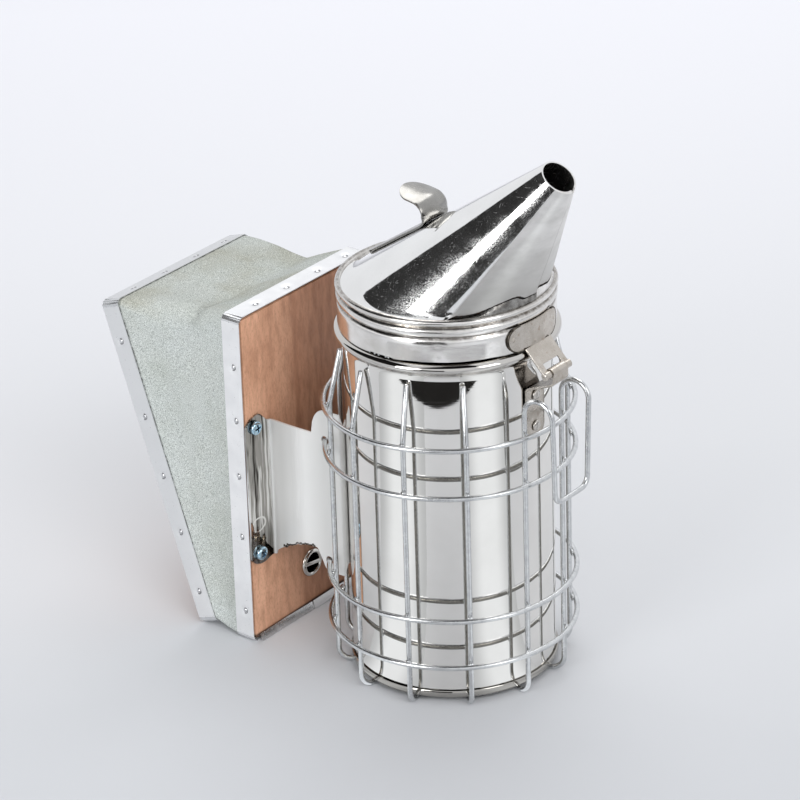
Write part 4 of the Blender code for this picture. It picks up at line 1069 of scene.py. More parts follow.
def tack_rims(place_point, tacks):
    """A dark arc of painted shade round the side of each head, where the strip has been driven in."""
    bm = bmesh.new()
    for (y, h), (out_y, out_h) in tacks:
        foot = place_point(BOARD * 0.5, y, h)
        away = (place_point(BOARD * 0.5, y + out_y, h + out_h) - foot).normalized()
        on = Vector((1, 0, 0))
        on = (on - away * on.dot(away)).normalized()
        over = away.cross(on)
        angles = [math.radians(15 * k - 105) for k in range(15)]
        middle = foot - away * TACK_RIM_SUNK
        rim = [middle + TACK_RIM * (on * math.cos(a) + over * math.sin(a)) for a in angles]
        tube(bm, rim, TACK_RIM_HALF, 8)
    return bm


for name, place_point, height, side_tacks, body in (
    ("front", front_point, FRONT_HEIGHT, FRONT_TACKS, "pot"),
    ("rear", rear_point, REAR_HEIGHT, REAR_TACKS, "bellows_rear"),
):
    tacks = tack_places(height, side_tacks)
    band = as_object(f"{name}_band", band_strip(place_point, height, tacks), 60)
    of_sheet(band, BAND * 0.8, -1)
    settled(band)
    fix(band, aluminium, body, "aluminium_band", f"{name}_edge_band")
    heads = as_object(f"{name}_tacks", tack_heads(place_point, tacks), 60)
    fix(heads, tack_steel, body, "aluminium_band")
    rims = as_object(f"{name}_tack_gap_shades", tack_rims(place_point, tacks), 60)
    fix(rims, tack_gap, body, "aluminium_band")

dull_lip = metal(
    "dull_aluminium_lip", LIP_BRIGHT, LIP_DULL,
    patch=110, smooth=0.22, rough=0.36, grain=300, groove=0.000004, wave=160, wave_depth=0.00004,
)
for name, finish, start, lift in (
    ("front_band_lip", dull_lip, -BELLOWS_HALF + BAND_CORNER, 0),
    ("front_band_lap", aluminium, LAP_START, 0.0006),
):
    bm = bmesh.new()
    stop = BELLOWS_HALF - BAND_CORNER
    rows = []
    for k in range(LIP_STEPS + 1):
        y = start + (stop - start) * k / LIP_STEPS
        bow = 0.0003 * noise.noise(Vector((y * 60, lift * 5000, 0)))
        section = (
            (LIP_GAP + lift, LIP_RISE + bow + lift * 0.6),
            (LIP_REACH + lift * 0.5, 0.0007 + lift * 0.6),
            (LIP_REACH + lift * 0.5, 0.0002),
            (LIP_GAP + lift, LIP_RISE - 0.0006 + bow),
        )
        rows.append([bm.verts.new((BOARD_FACE + x, y, z)) for x, z in section])
    bridge(bm, rows)
    bm.faces.new(rows[0])
    bm.faces.new(reversed(rows[-1]))
    fix(as_object(name, bm, 30), finish, "pot", "aluminium_band")


# Air outlet: a turned and nickelled ferrule pressed through the front board, opposite the pot's inlet, with a
# bar left across its mouth to keep embers out of the bellows.
FERRULE_BORE = 0.0052
FERRULE_TUBE = 0.0062
FERRULE_RIM = 0.0074
FERRULE_RIM_HEIGHT = 0.0016
FERRULE_BAR = 0.0010
FERRULE_ASIDE = -0.0040
BAR_TURN = math.radians(-9)
NICKEL_BRIGHT = (0.72, 0.70, 0.66)
NICKEL_DULL = (0.55, 0.53, 0.49)

nickel = metal(
    "nickelled_ferrule", NICKEL_BRIGHT, NICKEL_DULL,
    patch=300, smooth=0.10, rough=0.24, grain=500, groove=0.000004, wave=200, wave_depth=0.00002,
)
rim_top = SEAT + FERRULE_RIM_HEIGHT
ferrule_outline = [
    (FERRULE_BORE, rim_top - 0.0006), (FERRULE_BORE + 0.0004, rim_top - 0.0001), (FERRULE_BORE + 0.0009, rim_top),
    (FERRULE_RIM - 0.0009, rim_top - 0.0001), (FERRULE_RIM - 0.0003, rim_top - 0.0006), (FERRULE_RIM, SEAT + 0.0006),
    (FERRULE_RIM, SEAT), (FERRULE_TUBE, SEAT), (FERRULE_TUBE, -BOARD), (FERRULE_BORE, -BOARD),
]
ferrule = turned(ferrule_outline, 64)
bar_box = Matrix.Translation((0, 0, SEAT + 0.0009)) @ Matrix.Rotation(BAR_TURN, 4, "Z")
bar_box = bar_box @ Matrix.Diagonal((2 * FERRULE_BORE + 0.0008, 2 * FERRULE_BAR, 0.0011, 1))
bar = bmesh.ops.create_cube(ferrule, size=1, matrix=bar_box)
bar_edges = {edge for vert in bar["verts"] for edge in vert.link_edges}
bmesh.ops.bevel(ferrule, geom=list(bar_edges), offset=0.0003, segments=3, profile=0.5, affect="EDGES")
ferrule = facing(ferrule, (BOARD_FACE, FERRULE_ASIDE, INLET_Z), (1, 0, 0))
fix(as_object("outlet_ferrule", ferrule), nickel, "pot", "plain_stainless", "air_outlet_ferrule")


# Bellows spring: a coil of drawn steel wire between the boards, behind the leather, that opens the bellows
# again. Its two ends rest against the boards.
SPRING_WIRE = 0.0010
SPRING_R = 0.0140
SPRING_TURNS = 5
SPRING_Z = 0.0980
SPRING_STEPS = 24
SPRING_SIDES = 10
SPRING_BRIGHT = (0.46, 0.46, 0.47)
SPRING_DULL = (0.30, 0.29, 0.28)

spring_steel = metal(
    "drawn_spring_wire", SPRING_BRIGHT, SPRING_DULL,
    patch=300, smooth=0.25, rough=0.45, grain=700, groove=0.000005, wave=200, wave_depth=0.00002,
)
coil = []
count = SPRING_TURNS * SPRING_STEPS
for k in range(count + 1):
    a = math.tau * k / SPRING_STEPS
    y, up = SPRING_R * math.cos(a), SPRING_R * math.sin(a)
    on_front = front_point(-SPRING_WIRE - SEAT, y, SPRING_Z + up)
    on_rear = rear_point(-SPRING_WIRE - SEAT, y, SPRING_Z * REAR_HEIGHT / FRONT_HEIGHT + up)
    coil.append(on_front.lerp(on_rear, k / count))
bm = bmesh.new()
tube(bm, coil, SPRING_WIRE, SPRING_SIDES)
spring = as_object("spring_coil", bm, 60)
spring.data.materials.append(spring_steel)
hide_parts("bellows_spring")
follow_both_boards(spring)


# Lid collar: a stainless band that slips over the pot's neck and sits on the stop bead, with two ridges rolled
# into its upper part and its rim turned in. It is duller than the pot, with dirt and painted shade in the
# grooves, at its foot and at its rim, a nick and a torn lower edge.
COLLAR_R = POT_R + 0.0022
COLLAR_IN = COLLAR_R - 0.0008
COLLAR_LOW = STOP_BEAD_Z + STOP_BEAD_HALF + 0.0002
COLLAR_TOP = COLLAR_LOW + 0.0240
NICK = (math.radians(-57.4), 0.1873)
NICK_DEPTH = 0.0006
NICK_SIZE = 0.0022
COLLAR_DENT = 0.00012
TORN_EDGE = (math.radians(-98), math.radians(-82))
BURR_ANGLES = (-96.5, -93.0, -90.5, -86.0, -84.4)
BURR = 0.0005
COLLAR_STEEL = (0.93, 0.91, 0.885)
COLLAR_SHADE = (0.72, 0.695, 0.66)
GROOVE_SHADE_AND_DIRT = (0.105, 0.085, 0.065)

satin_collar, tree, shader, place = blank("dulled_stainless_collar", 1)
cloud = speckle(tree, place, (60, 60, 90), 6, 0.6)
lines = speckle(tree, place, (30, 30, 2600), 3)
spots = speckle(tree, place, 420, 5, 0.7)
height = spread(tree, node(tree, "SeparateXYZ", Vector=place).outputs["Z"], 0, 1, COLLAR_LOW, COLLAR_TOP)
# Painted shade with dirt: a ramp up the collar darkens its grooves, its foot and its rim.
ridge_zone = node(tree, "ValToRGB", Fac=height)
stops = ridge_zone.color_ramp.elements
stops[0].position, stops[0].color = 0.0, (0.7, 0.7, 0.7, 1)
stops[1].position, stops[1].color = 1.0, (0, 0, 0, 1)
for level, share in (
    (0.030, 0.0), (0.46, 0.0), (0.50, 0.9), (0.54, 0.25), (0.60, 0.0),
    (0.68, 0.1), (0.73, 1.0), (0.775, 0.15), (0.86, 0.0), (0.90, 0.7),
):
    stops.new(level).color = (share, share, share, 1)
shade_and_dirt = maths(tree, "MULTIPLY", ridge_zone.outputs["Color"], spread(tree, spots, 0.45, 1.0, 0.35, 0.60))
band_tone = mix(tree, spread(tree, cloud, 0, 1, 0.35, 0.66), COLLAR_STEEL, COLLAR_SHADE)
plug(
    tree, shader,
    Base_Color=mix(tree, shade_and_dirt, band_tone, GROOVE_SHADE_AND_DIRT),
    Roughness=spread(tree, cloud, 0.14, 0.27, 0.35, 0.68),
    Normal=relief(tree, lines, 0.000010, relief(tree, cloud, 0.00009)),
)

collar_outline = [
    (COLLAR_IN, COLLAR_LOW),
    *((COLLAR_R + out, COLLAR_LOW + up) for out, up in (
        (0, 0), (0, 0.0008), (0, 0.0030), (0, 0.0060), (0, 0.0085), (0, 0.0108), (-0.0005, 0.0117),
        (-0.0010, 0.0124), (-0.0005, 0.0131), (0.0003, 0.0140), (0.0005, 0.0152), (0.0003, 0.0166),
        (-0.0005, 0.0174), (-0.0011, 0.0180), (-0.0005, 0.0185), (0.0003, 0.0189), (0.0006, 0.0195),
        (0.0007, 0.0201), (0.0005, 0.0208), (0.0001, 0.0213), (-0.0005, 0.0217), (-0.0011, 0.0218),
        (-0.0015, 0.0214), (-0.0015, 0.0206),
    )),
    (COLLAR_IN - 0.0009, COLLAR_LOW + 0.0190),
    (COLLAR_IN - 0.0009, COLLAR_LOW + 0.0118),
    (COLLAR_IN, COLLAR_LOW + 0.0104),
]
bm = turned(collar_outline, 256)
for vert in bm.verts:
    angle = math.atan2(vert.co.y, vert.co.x)
    radius = math.hypot(vert.co.x, vert.co.y)
    apart = math.hypot((angle - NICK[0]) * COLLAR_R, vert.co.z - NICK[1])
    push = -NICK_DEPTH * math.exp(-((apart / NICK_SIZE) ** 2))
    push += COLLAR_DENT * noise.noise(Vector((math.cos(angle) * 4, math.sin(angle) * 4, vert.co.z * 90)))
    if vert.co.z < COLLAR_LOW + 0.0001:
        torn = smooth_step((angle - TORN_EDGE[0]) / 0.03) * smooth_step((TORN_EDGE[1] - angle) / 0.03)
        wave = noise.noise(Vector((angle * 34, 1.5, 0)))
        lifted = smooth_step((angle - TORN_EDGE[1]) / 0.2) * smooth_step((-0.35 - angle) / 0.2)
        vert.co.z += 0.0001 + 0.0001 * noise.noise(Vector((angle * 12, 0.5, 0))) + torn * (0.0007 + 0.0007 * wave)
        vert.co.z += lifted * (0.0006 + 0.0002 * noise.noise(Vector((angle * 9, 2.5, 0))))
        vert.co.z += 0.0015 * smooth_step((angle - 0.30) / 0.10) * smooth_step((1.0 - angle) / 0.3)
    vert.co = around(radius + push, angle, vert.co.z)
fix(as_object("collar_band", bm, 50), satin_collar, "lid", "polished_stainless", "lid_collar")

bm = bmesh.new()
for angle in map(math.radians, BURR_ANGLES):
    spot = around(COLLAR_R + 0.0001, angle, COLLAR_LOW + 0.0004)
    blob(bm, spot, angle, (0.5, 1.2 + 0.5 * noise.noise(spot * 900), 0.8), BURR, 2)
fix(as_object("collar_burrs", bm, 60), galvanised, "lid", "polished_stainless")


# Lid cone: mirror-polished sheet rolled into a leaning cone that narrows to the spout. Its lapped seam runs
# down the front, where the foot is cut raggedly, crimped and closed by a strip of flange. The rest of the foot
# flares out to the collar, and a sooted skirt hangs inside it.
CONE_LOW = COLLAR_TOP - 0.0036
CONE_R = COLLAR_IN - 0.0024
CONE_SHEET = 0.0008
SKIRT = 0.0048
CONE_RISE = 0.0666
SPOUT = Vector((POT_R + 0.0162, 0, CONE_LOW + CONE_RISE))
SPOUT_R = 0.0090
SPOUT_TILT = math.radians(38.3)
LAP = 0.0007
SEAM = math.radians(1.5)
TORN_LEFT = (math.radians(-46), math.radians(-17))
TORN_SEAM = (math.radians(-17), math.radians(-7))
TORN_RIGHT = (math.radians(4), math.radians(24))
HAZY = (math.radians(-53.5), math.radians(-51.5))
NOTCH = (math.radians(5), math.radians(24), 0.0030)
RAGGED = (math.radians(-58), math.radians(46))
FLARE = 0.0021
CONE_DENT = 0.00022
TURNS = 240
LINER_STEPS = 120
LINER_REACH = 0.20
FLANGE_STEPS = 64
FLANGE_BOW = 0.0004
CRIMP = 0.0009
CRIMPS = ((-32.0, 0.0502, 0.2036), (-23.1, 0.0500, 0.2046), (-15.5, 0.0498, 0.2052))
SHEET_BRIGHT = (0.90, 0.897, 0.885)
SHEET_CLOUD = (0.84, 0.836, 0.825)
HAZY_PAINTED_DIM = (0.82, 0.806, 0.785)
HAZY_SMUDGE_PAINTED_DIM = (0.66, 0.648, 0.625)
HAZY_FOOT_PAINTED_SHADE = (0.43, 0.421, 0.40)
SEAM_SHADOW = (0.30, 0.29, 0.27)
FLANGE_GREY = (0.40, 0.39, 0.37)
FLANGE_DARK = (0.16, 0.15, 0.14)


def sheet_strip(lines):
    """An open sheet from cross lines of points, each line with the same count."""
    bm = bmesh.new()
    bridge(bm, [[bm.verts.new(point) for point in line] for line in lines], closed=False)
    return bm


def shell(loops):
    """A skin from closed loops of points, the last joined to the first."""
    bm = bmesh.new()
    rings = [[bm.verts.new(point) for point in loop] for loop in loops]
    bridge(bm, rings + rings[:1])
    return bm


def from_front(angle):
    """An angle round the pot, counted from the front to half a turn either way."""
    return (angle + math.pi) % math.tau - math.pi


def cone_point(angle, share, radius, spout_radius, lap):
    """A point of the cone: share 0 is at its foot and 1 at the spout's mouth."""
    step = lap * smooth_step(4 * ((angle - SEAM) / math.tau - 0.75))
    foot = around(radius + step, angle, CONE_LOW)
    tilt = Vector((math.cos(SPOUT_TILT), 0, -math.sin(SPOUT_TILT)))
    mouth = SPOUT + (spout_radius + step) * math.cos(angle) * tilt
    mouth.y = (spout_radius + step) * math.sin(angle)
    return foot.lerp(mouth, share)


def ragged_share(angle):
    """How much of the front of the foot is cut away, from 0 to 1."""
    aside = from_front(angle)
    return smooth_step((aside - RAGGED[0]) / 0.16) * smooth_step((RAGGED[1] - aside) / 0.16)


def torn_share(angle):
    """How far up the cone its foot is cut away at the front."""
    aside = from_front(angle)
    left, seam, right = (
        smooth_step((aside - start) / (stop - start)) for start, stop in (TORN_LEFT, TORN_SEAM, TORN_RIGHT)
    )
    torn = 0.040 + 0.090 * left - 0.045 * seam if aside < SEAM else 0.130 - 0.055 * right
    torn += 0.006 * noise.noise(Vector((aside * 9, 4.2, 0)))
    return torn + 0.008 * noise.noise(Vector((aside * 34, 1, 0)))


def cone_sheet():
    """The cone as a closed skin, with its lap, its ragged foot and the notch in the spout's lip."""
    angles = [SEAM + 0.9999 * math.tau * k / (TURNS - 1) for k in range(TURNS)]
    shares = [0, 0.006, 0.014, 0.026, 0.045] + [0.045 + 0.955 * k / 44 for k in range(1, 45)]
    outer, inner = [], []
    for share in shares:
        outside, inside = [], []
        for angle in angles:
            ragged = ragged_share(angle)
            along = share + (torn_share(angle) * ragged) * (1 - share) ** 6
            if NOTCH[0] < from_front(angle) < NOTCH[1]:
                along -= NOTCH[2] / CONE_RISE * share**30
            low = smooth_step(1 - share / 0.045) ** 2
            point = cone_point(angle, along, CONE_R, SPOUT_R, LAP)
            out = around(1, angle, 0)
            point += out * FLARE * low * (1 - ragged)
            dent = noise.noise(Vector((math.cos(angle) * 1.7, math.sin(angle) * 1.7, share * 2.2)))
            point += out * CONE_DENT * dent * math.sin(math.pi * min(1, share * 1.02))
            outside.append(point)
            point = cone_point(angle, along, CONE_R - CONE_SHEET, SPOUT_R - CONE_SHEET, 0)
            inside.append(point + out * FLARE * 0.5 * low * (1 - ragged))
        outer.append(outside)
        inner.append(inside)
    return shell(outer + inner[::-1])


polished_cone, tree, shader, place = blank("mirror_polished_cone", 1)
cloud = speckle(tree, place, 35, 4)
haze = speckle(tree, place, 60, 5, 0.7)
swarm = speckle(tree, place, 2300, 3, 0.7)
scratch_a = speckle(tree, place, (2600, 160, 320), 3, 0.7)
scratch_b = speckle(tree, place, (200, 2600, 900), 3, 0.7)
smudge = speckle(tree, place, (60, 60, 130), 4, 0.6)
parts = node(tree, "SeparateXYZ", Vector=place).outputs
lean = SPOUT.x / (SPOUT.z - CONE_LOW)
ahead = maths(tree, "DOT_PRODUCT", place, (1, 0, -lean), kind="VectorMath")
ahead = maths(tree, "SUBTRACT", ahead, POT_X - lean * CONE_LOW)
bearing = maths(tree, "ARCTAN2", parts["Y"], ahead)
hazy = maths(
    tree, "MULTIPLY",
    spread(tree, bearing, 0, 1, *HAZY), spread(tree, bearing, 1, 0, math.radians(60), math.radians(120)),
)
sheet_tone = mix(tree, spread(tree, cloud, 0, 1, 0.35, 0.66), SHEET_BRIGHT, SHEET_CLOUD)
# Painted shade: the hazy side is painted dimmer than the mirror, with smudges, and darker still toward its foot.
hazy_painted_tone = mix(tree, spread(tree, smudge, 0, 1, 0.42, 0.70), HAZY_PAINTED_DIM, HAZY_SMUDGE_PAINTED_DIM)
by_foot = spread(tree, parts["Z"], 0.75, 0, CONE_LOW + 0.008, CONE_LOW + 0.044)
hazy_painted_tone = mix(tree, by_foot, hazy_painted_tone, HAZY_FOOT_PAINTED_SHADE)
sheet_tone = mix(tree, hazy, sheet_tone, hazy_painted_tone)
off_seam = maths(tree, "ABSOLUTE", maths(tree, "SUBTRACT", bearing, SEAM))
marks = maths(
    tree, "MAXIMUM", spread(tree, scratch_a, 0, 0.8, 0.62, 0.72), spread(tree, scratch_b, 0, 0.8, 0.62, 0.72)
)
by_left = spread(tree, bearing, 0, 1, math.radians(-104), math.radians(-86))
by_right = spread(tree, bearing, 1, 0.25, math.radians(-72), math.radians(-58))
by_glare = spread(tree, maths(tree, "MULTIPLY", by_left, by_right), 0.15, 1)
worn = maths(tree, "MULTIPLY", spread(tree, haze, 0.1, 1, 0.42, 0.60), by_glare)
worn = maths(tree, "MULTIPLY", spread(tree, swarm, 0, 1, 0.46, 0.60), worn)
rubbed = maths(tree, "MAXIMUM", worn, marks)
plug(
    tree, shader,
    Base_Color=mix(tree, spread(tree, off_seam, 0.7, 0, 0.006, 0.016), sheet_tone, SEAM_SHADOW),
    Metallic=spread(tree, rubbed, 0.985, 0.82),
    Roughness=maths(tree, "MAXIMUM", spread(tree, rubbed, 0.035, 0.50), spread(tree, hazy, 0, 0.34)),
    Normal=relief(tree, cloud, 0.00010),
)
fix(as_object("cone_sheet", cone_sheet(), 30), polished_cone, "lid", "polished_stainless", "lid_cone")

inside = CONE_R - CONE_SHEET
liner_angles = [math.tau * k / LINER_STEPS for k in range(LINER_STEPS)]
liner = [
    [around(inside - depth, angle, CONE_LOW + SKIRT * share) for angle in liner_angles]
    for depth, share in ((0.0002, 0), (0.0002, -1), (0.0007, -1))
]
outer_edge, inner_edge = (
    [cone_point(angle, LINER_REACH, inside - depth, SPOUT_R - CONE_SHEET - depth, 0) for angle in liner_angles]
    for depth in (0.0004, 0.0009)
)
liner = shell([outer_edge, *liner, inner_edge])
fix(as_object("cone_skirt", liner, 30), sooty, "lid", "polished_stainless")

dark_flange = metal(
    "darkened_flange", FLANGE_GREY, FLANGE_DARK,
    patch=260, smooth=0.22, rough=0.40, grain=500, groove=0.000006, wave=160, wave_depth=0.00008,
)
for name, finish, start, stop in (
    ("flange_left", dark_flange, RAGGED[0], SEAM),
    ("flange_right", satin_collar, SEAM, RAGGED[1]),
):
    lines = []
    for k in range(FLANGE_STEPS + 1):
        angle = start + (stop - start) * k / FLANGE_STEPS
        low = around(COLLAR_R - 0.0012, angle, COLLAR_LOW + 0.0212)
        high = cone_point(angle, (torn_share(angle) - 0.022) * ragged_share(angle), CONE_R, SPOUT_R, 0)
        bow = [around(FLANGE_BOW * math.sin(math.pi * j / 6), angle, 0) for j in range(7)]
        lines.append([low.lerp(high, j / 6) + bow[j] for j in range(7)])
    flange = as_object(f"cone_{name}", sheet_strip(lines), 60)
    of_sheet(flange, CONE_SHEET * 0.5)
    fix(settled(flange), finish, "lid", "polished_stainless")

bm = bmesh.new()
for angle, radius, z in CRIMPS:
    angle = math.radians(angle)
    blob(bm, around(radius, angle, z), angle, (1.6, 1.1, 0.8), CRIMP, 3)
fix(as_object("cone_crimps", bm, 60), polished_cone, "lid", "polished_stainless")


# Thumb lift: a stainless strap laid up the back of the cone and spot-welded at its ends, then bent up and
# curled back into a dished tongue for the thumb.
LIFT_SHEET = 0.0010
LIFT_HALF = 0.0095
LIFT_START = 0.0080
LIFT_STRAP = 0.0440
LIFT_NECK = 0.0045
LIFT_CURL = 0.0075
LIFT_TONGUE = 0.0130
LIFT_RISE = math.radians(95)
LIFT_BACK = math.radians(172)
LIFT_CREASE = 0.05
LIFT_DISH = 0.030
CONE_SLANT = 0.0832
EDGE_ROUND = 0.00018
LIFT_TONE = (0.36, 0.352, 0.335)
LIFT_SHADE = (0.28, 0.272, 0.255)


def rounded_edges(made):
    """Takes the sharpness off the edges of a sheet."""
    bevel = made.modifiers.new("edges", "BEVEL")
    bevel.width = EDGE_ROUND
    bevel.segments = 2
    bevel.limit_method = "ANGLE"
    bevel.angle_limit = math.radians(50)
    return settled(made)


def thickened(made, sheet):
    """Gives an open sheet its thickness and rounded edges."""
    of_sheet(made, sheet)
    return rounded_edges(made)


def turn_on(path, radius, start, stop, steps):
    """Carries a path in the XZ plane round an arc, from one heading to another."""
    end = path[-1]
    for k in range(1, steps + 1):
        a = start + (stop - start) * k / steps
        path.append(end + radius * Vector((math.sin(a) - math.sin(start), 0, math.cos(start) - math.cos(a))))
    return path


def lift_lines():
    """The strap as cross lines, from its low end on the cone to the tip of the tongue."""
    foot = cone_point(math.pi, 0, CONE_R, SPOUT_R, 0)
    along = (cone_point(math.pi, 1, CONE_R, SPOUT_R, 0) - foot).normalized()
    heading = math.atan2(along.z, along.x)
    out = Vector((-along.z, 0, along.x))
    start = foot + along * LIFT_START + out * (SEAT + LIFT_SHEET / 2)
    path = [start + along * LIFT_STRAP * (k / 40) ** 1.3 for k in range(41)]
    on_cone = len(path)
    turn_on(path, LIFT_NECK, heading, LIFT_RISE, 10)
    turn_on(path, LIFT_CURL, LIFT_RISE, LIFT_BACK, 14)
    back = Vector((math.cos(LIFT_BACK), 0, math.sin(LIFT_BACK)))
    end = path[-1]
    path += [end + back * LIFT_TONGUE * (1 - (1 - k / 16) ** 2) for k in range(1, 17)]
    lengths = [0]
    for first, second in zip(path, path[1:]):
        lengths.append(lengths[-1] + (second - first).length)
    lines = []
    for k, (point, length) in enumerate(zip(path, lengths)):
        ahead = (path[min(k + 1, len(path) - 1)] - path[max(k - 1, 0)]).normalized()
        over = Vector((-ahead.z, 0, ahead.x))
        near_end = min(length, lengths[-1] - length)
        rounding = min(1, near_end / (LIFT_HALF * 0.9))
        half = LIFT_HALF * max(0.12, math.sqrt(max(0, 1 - (1 - rounding) ** 2)))
        share = min(1, (point - foot).dot(along) / CONE_SLANT)
        cone_radius = CONE_R + (SPOUT_R - CONE_R) * max(0, share)
        wrap = 1 / (2 * cone_radius * 1.05)
        free = smooth_step((k - on_cone + 4) / 10)
        bow = -0.5 * wrap * (1 - free) + free / (2 * LIFT_DISH)
        in_neck = smooth_step((k - on_cone) / 6) * smooth_step((on_cone + 26 - k) / 10)
        line = []
        for column in range(-8, 9):
            y = half * column / 8
            fold = LIFT_CREASE * in_neck * abs(y - 0.0012)
            line.append(point + Vector((0, y, 0)) + over * (bow * y * y + fold))
        lines.append(line)
    return lines


satin_lift = metal(
    "satin_stainless_lift", LIFT_TONE, LIFT_SHADE,
    patch=160, smooth=0.22, rough=0.30, grain=260, groove=0.000003, wave=60, wave_depth=0.00002,
)
lift = thickened(as_object("lift_strap", sheet_strip(lift_lines()), 60), LIFT_SHEET)
fix(lift, satin_lift, "lid", "polished_stainless", "thumb_lift")


# Upper hinge leaf: a stainless strap spot-welded round the front of the collar, whose middle is bent out and
# down as a plate. The plate is slotted and holds a round bar across its end. Welding has browned its edges.
HINGE_X = POT_R + 0.0138
HINGE_Z = STOP_BEAD_Z - 0.0075
HINGE_BAR = 0.0013
LEAF_SHEET = 0.0010
STRAP_HALF = 0.0190
STRAP_LOW = COLLAR_LOW + 0.0003
STRAP_HIGH = STRAP_LOW + 0.0130
PLATE_HALF = 0.0098
SLOT_HALF = 0.0061
SLOT_REACH = 0.0056
STRAP_STEPS = 56
PLATE_STEPS = 24
SCORCH = 0.00052
WELD_SPOT = 0.0010
WELD_SPOTS = ((-2.4, 0.1840, 0.9), (-17.5, 0.1885, 1.1), (17.0, 0.1882, 1.1), (4.0, 0.1905, 0.7))
LEAF_TONE = (0.64, 0.595, 0.54)
LEAF_SHADE = (0.50, 0.455, 0.40)
LEAF_BURNT = (0.30, 0.19, 0.12)
LEAF_BACK_PAINTED_SHADE = (0.045, 0.036, 0.030)

hinge_steel, tree, shader, place = blank("browned_stainless_hinge", 1)
cloud = speckle(tree, place, 140, 6, 0.65)
burnt = speckle(tree, place, 330, 5, 0.7)
# Painted shade: faces turned toward the pot are painted nearly black.
inward = node(tree, "SeparateXYZ", Vector=node(tree, "NewGeometry").outputs["Normal"]).outputs["X"]
leaf_tone = mix(tree, spread(tree, cloud, 0, 1, 0.35, 0.66), LEAF_TONE, LEAF_SHADE)
leaf_tone = mix(tree, spread(tree, burnt, 0, 0.8, 0.60, 0.74), leaf_tone, LEAF_BURNT)
plug(
    tree, shader,
    Base_Color=mix(tree, spread(tree, inward, 0.9, 0, -0.45, -0.20), leaf_tone, LEAF_BACK_PAINTED_SHADE),
    Roughness=spread(tree, cloud, 0.18, 0.36, 0.35, 0.66),
    Normal=relief(tree, cloud, 0.00020),
)

strap_ring = COLLAR_R + SEAT + LEAF_SHEET / 2
strap_middle = (STRAP_LOW + STRAP_HIGH) / 2
strap_reach = (STRAP_HIGH - STRAP_LOW) / 2
lines = []
for k in range(STRAP_STEPS + 1):
    way = STRAP_HALF * math.sin(math.pi * (k / STRAP_STEPS - 0.5))
    past = max(0, (abs(way) - STRAP_HALF + strap_reach) / strap_reach)
    reach = strap_reach * max(0.10, math.sqrt(max(0, 1 - past * past)))
    lines.append([around(strap_ring, way / strap_ring, strap_middle + reach * j / 6) for j in range(-6, 7)])
strap = thickened(as_object("hinge_strap", sheet_strip(lines), 60), LEAF_SHEET)
fix(strap, hinge_steel, "lid", "polished_stainless", "hinge_upper_leaf")

bm = bmesh.new()
for side in (-1, 1):
    scorch = []
    for k in range(21):
        a = math.radians(-95 + 190 * k / 20)
        way = side * (STRAP_HALF - strap_reach + strap_reach * math.cos(a))
        scorch.append(around(strap_ring + 0.0001, way / strap_ring, strap_middle + strap_reach * math.sin(a)))
    tube(bm, scorch, SCORCH, 8)
fix(as_object("hinge_scorch", bm, 60), burnt_burr, "lid", "polished_stainless")

root = Vector((strap_ring, 0, STRAP_LOW + LEAF_SHEET * 0.4))
axle = Vector((HINGE_X, 0, HINGE_Z))
lines = []
for k in range(PLATE_STEPS + 1):
    point = root.lerp(axle, k / PLATE_STEPS)
    lines.append([point + Vector((0, PLATE_HALF * j / 10, 0)) for j in range(-10, 11)])
plate = as_object("hinge_plate", sheet_strip(lines), 60)
down = (axle - root).normalized()
slot = bmesh.new()
slot_middle = axle - down * (SLOT_REACH / 2 - HINGE_BAR)
slot_size = Matrix.Diagonal((SLOT_REACH + 2 * HINGE_BAR, 2 * SLOT_HALF, 6 * LEAF_SHEET, 1))
slot_turn = down.to_track_quat("X", "Z").to_matrix().to_4x4()
bmesh.ops.create_cube(slot, size=1, matrix=Matrix.Translation(slot_middle) @ slot_turn @ slot_size)
of_sheet(plate, LEAF_SHEET)
settled(plate, [as_object("slot", slot)])
fix(rounded_edges(plate), hinge_steel, "lid", "polished_stainless")

bm = bmesh.new()
tube(bm, [axle + Vector((0, y * PLATE_HALF, 0)) for y in (-0.985, -0.5, 0, 0.5, 0.985)], HINGE_BAR, 20)
for side in (-1, 1):
    wrap = Matrix.Translation(axle + Vector((0, side * (PLATE_HALF + SLOT_HALF) / 2, 0)))
    wrap = wrap @ Matrix.Rotation(math.pi / 2, 4, "X")
    size = Matrix.Diagonal((HINGE_BAR + 0.0007, HINGE_BAR + 0.0007, PLATE_HALF - SLOT_HALF - 0.0004, 1))
    bmesh.ops.create_cone(bm, segments=32, radius1=1, radius2=1, depth=1, cap_ends=True, matrix=wrap @ size)
fix(as_object("hinge_bar", bm, 50), hinge_steel, "lid", "polished_stainless")

bm = bmesh.new()
for angle, z, size in WELD_SPOTS:
    angle = math.radians(angle)
    blob(bm, around(strap_ring + LEAF_SHEET / 2 - 0.0001, angle, z), angle, (0.35, 1, 1), WELD_SPOT * size, 3)
fix(as_object("hinge_welds", bm, 60), hinge_steel, "lid", "polished_stainless")


# Lower hinge leaf: a stainless strip riveted to the pot, bent outward and curled round the bar through the
# slot of the upper leaf, so that the lid tips forward and can't come off.
LEAF_HALF = 0.0070
KNUCKLE_HALF = 0.0056
LEAF_BEND = HINGE_Z - 0.0110
LEAF_BEND_R = 0.0028
LEAF_LOW = LEAF_BEND - 0.0280
LEAF_STEPS = 24
KNUCKLE_TURN = math.radians(215)

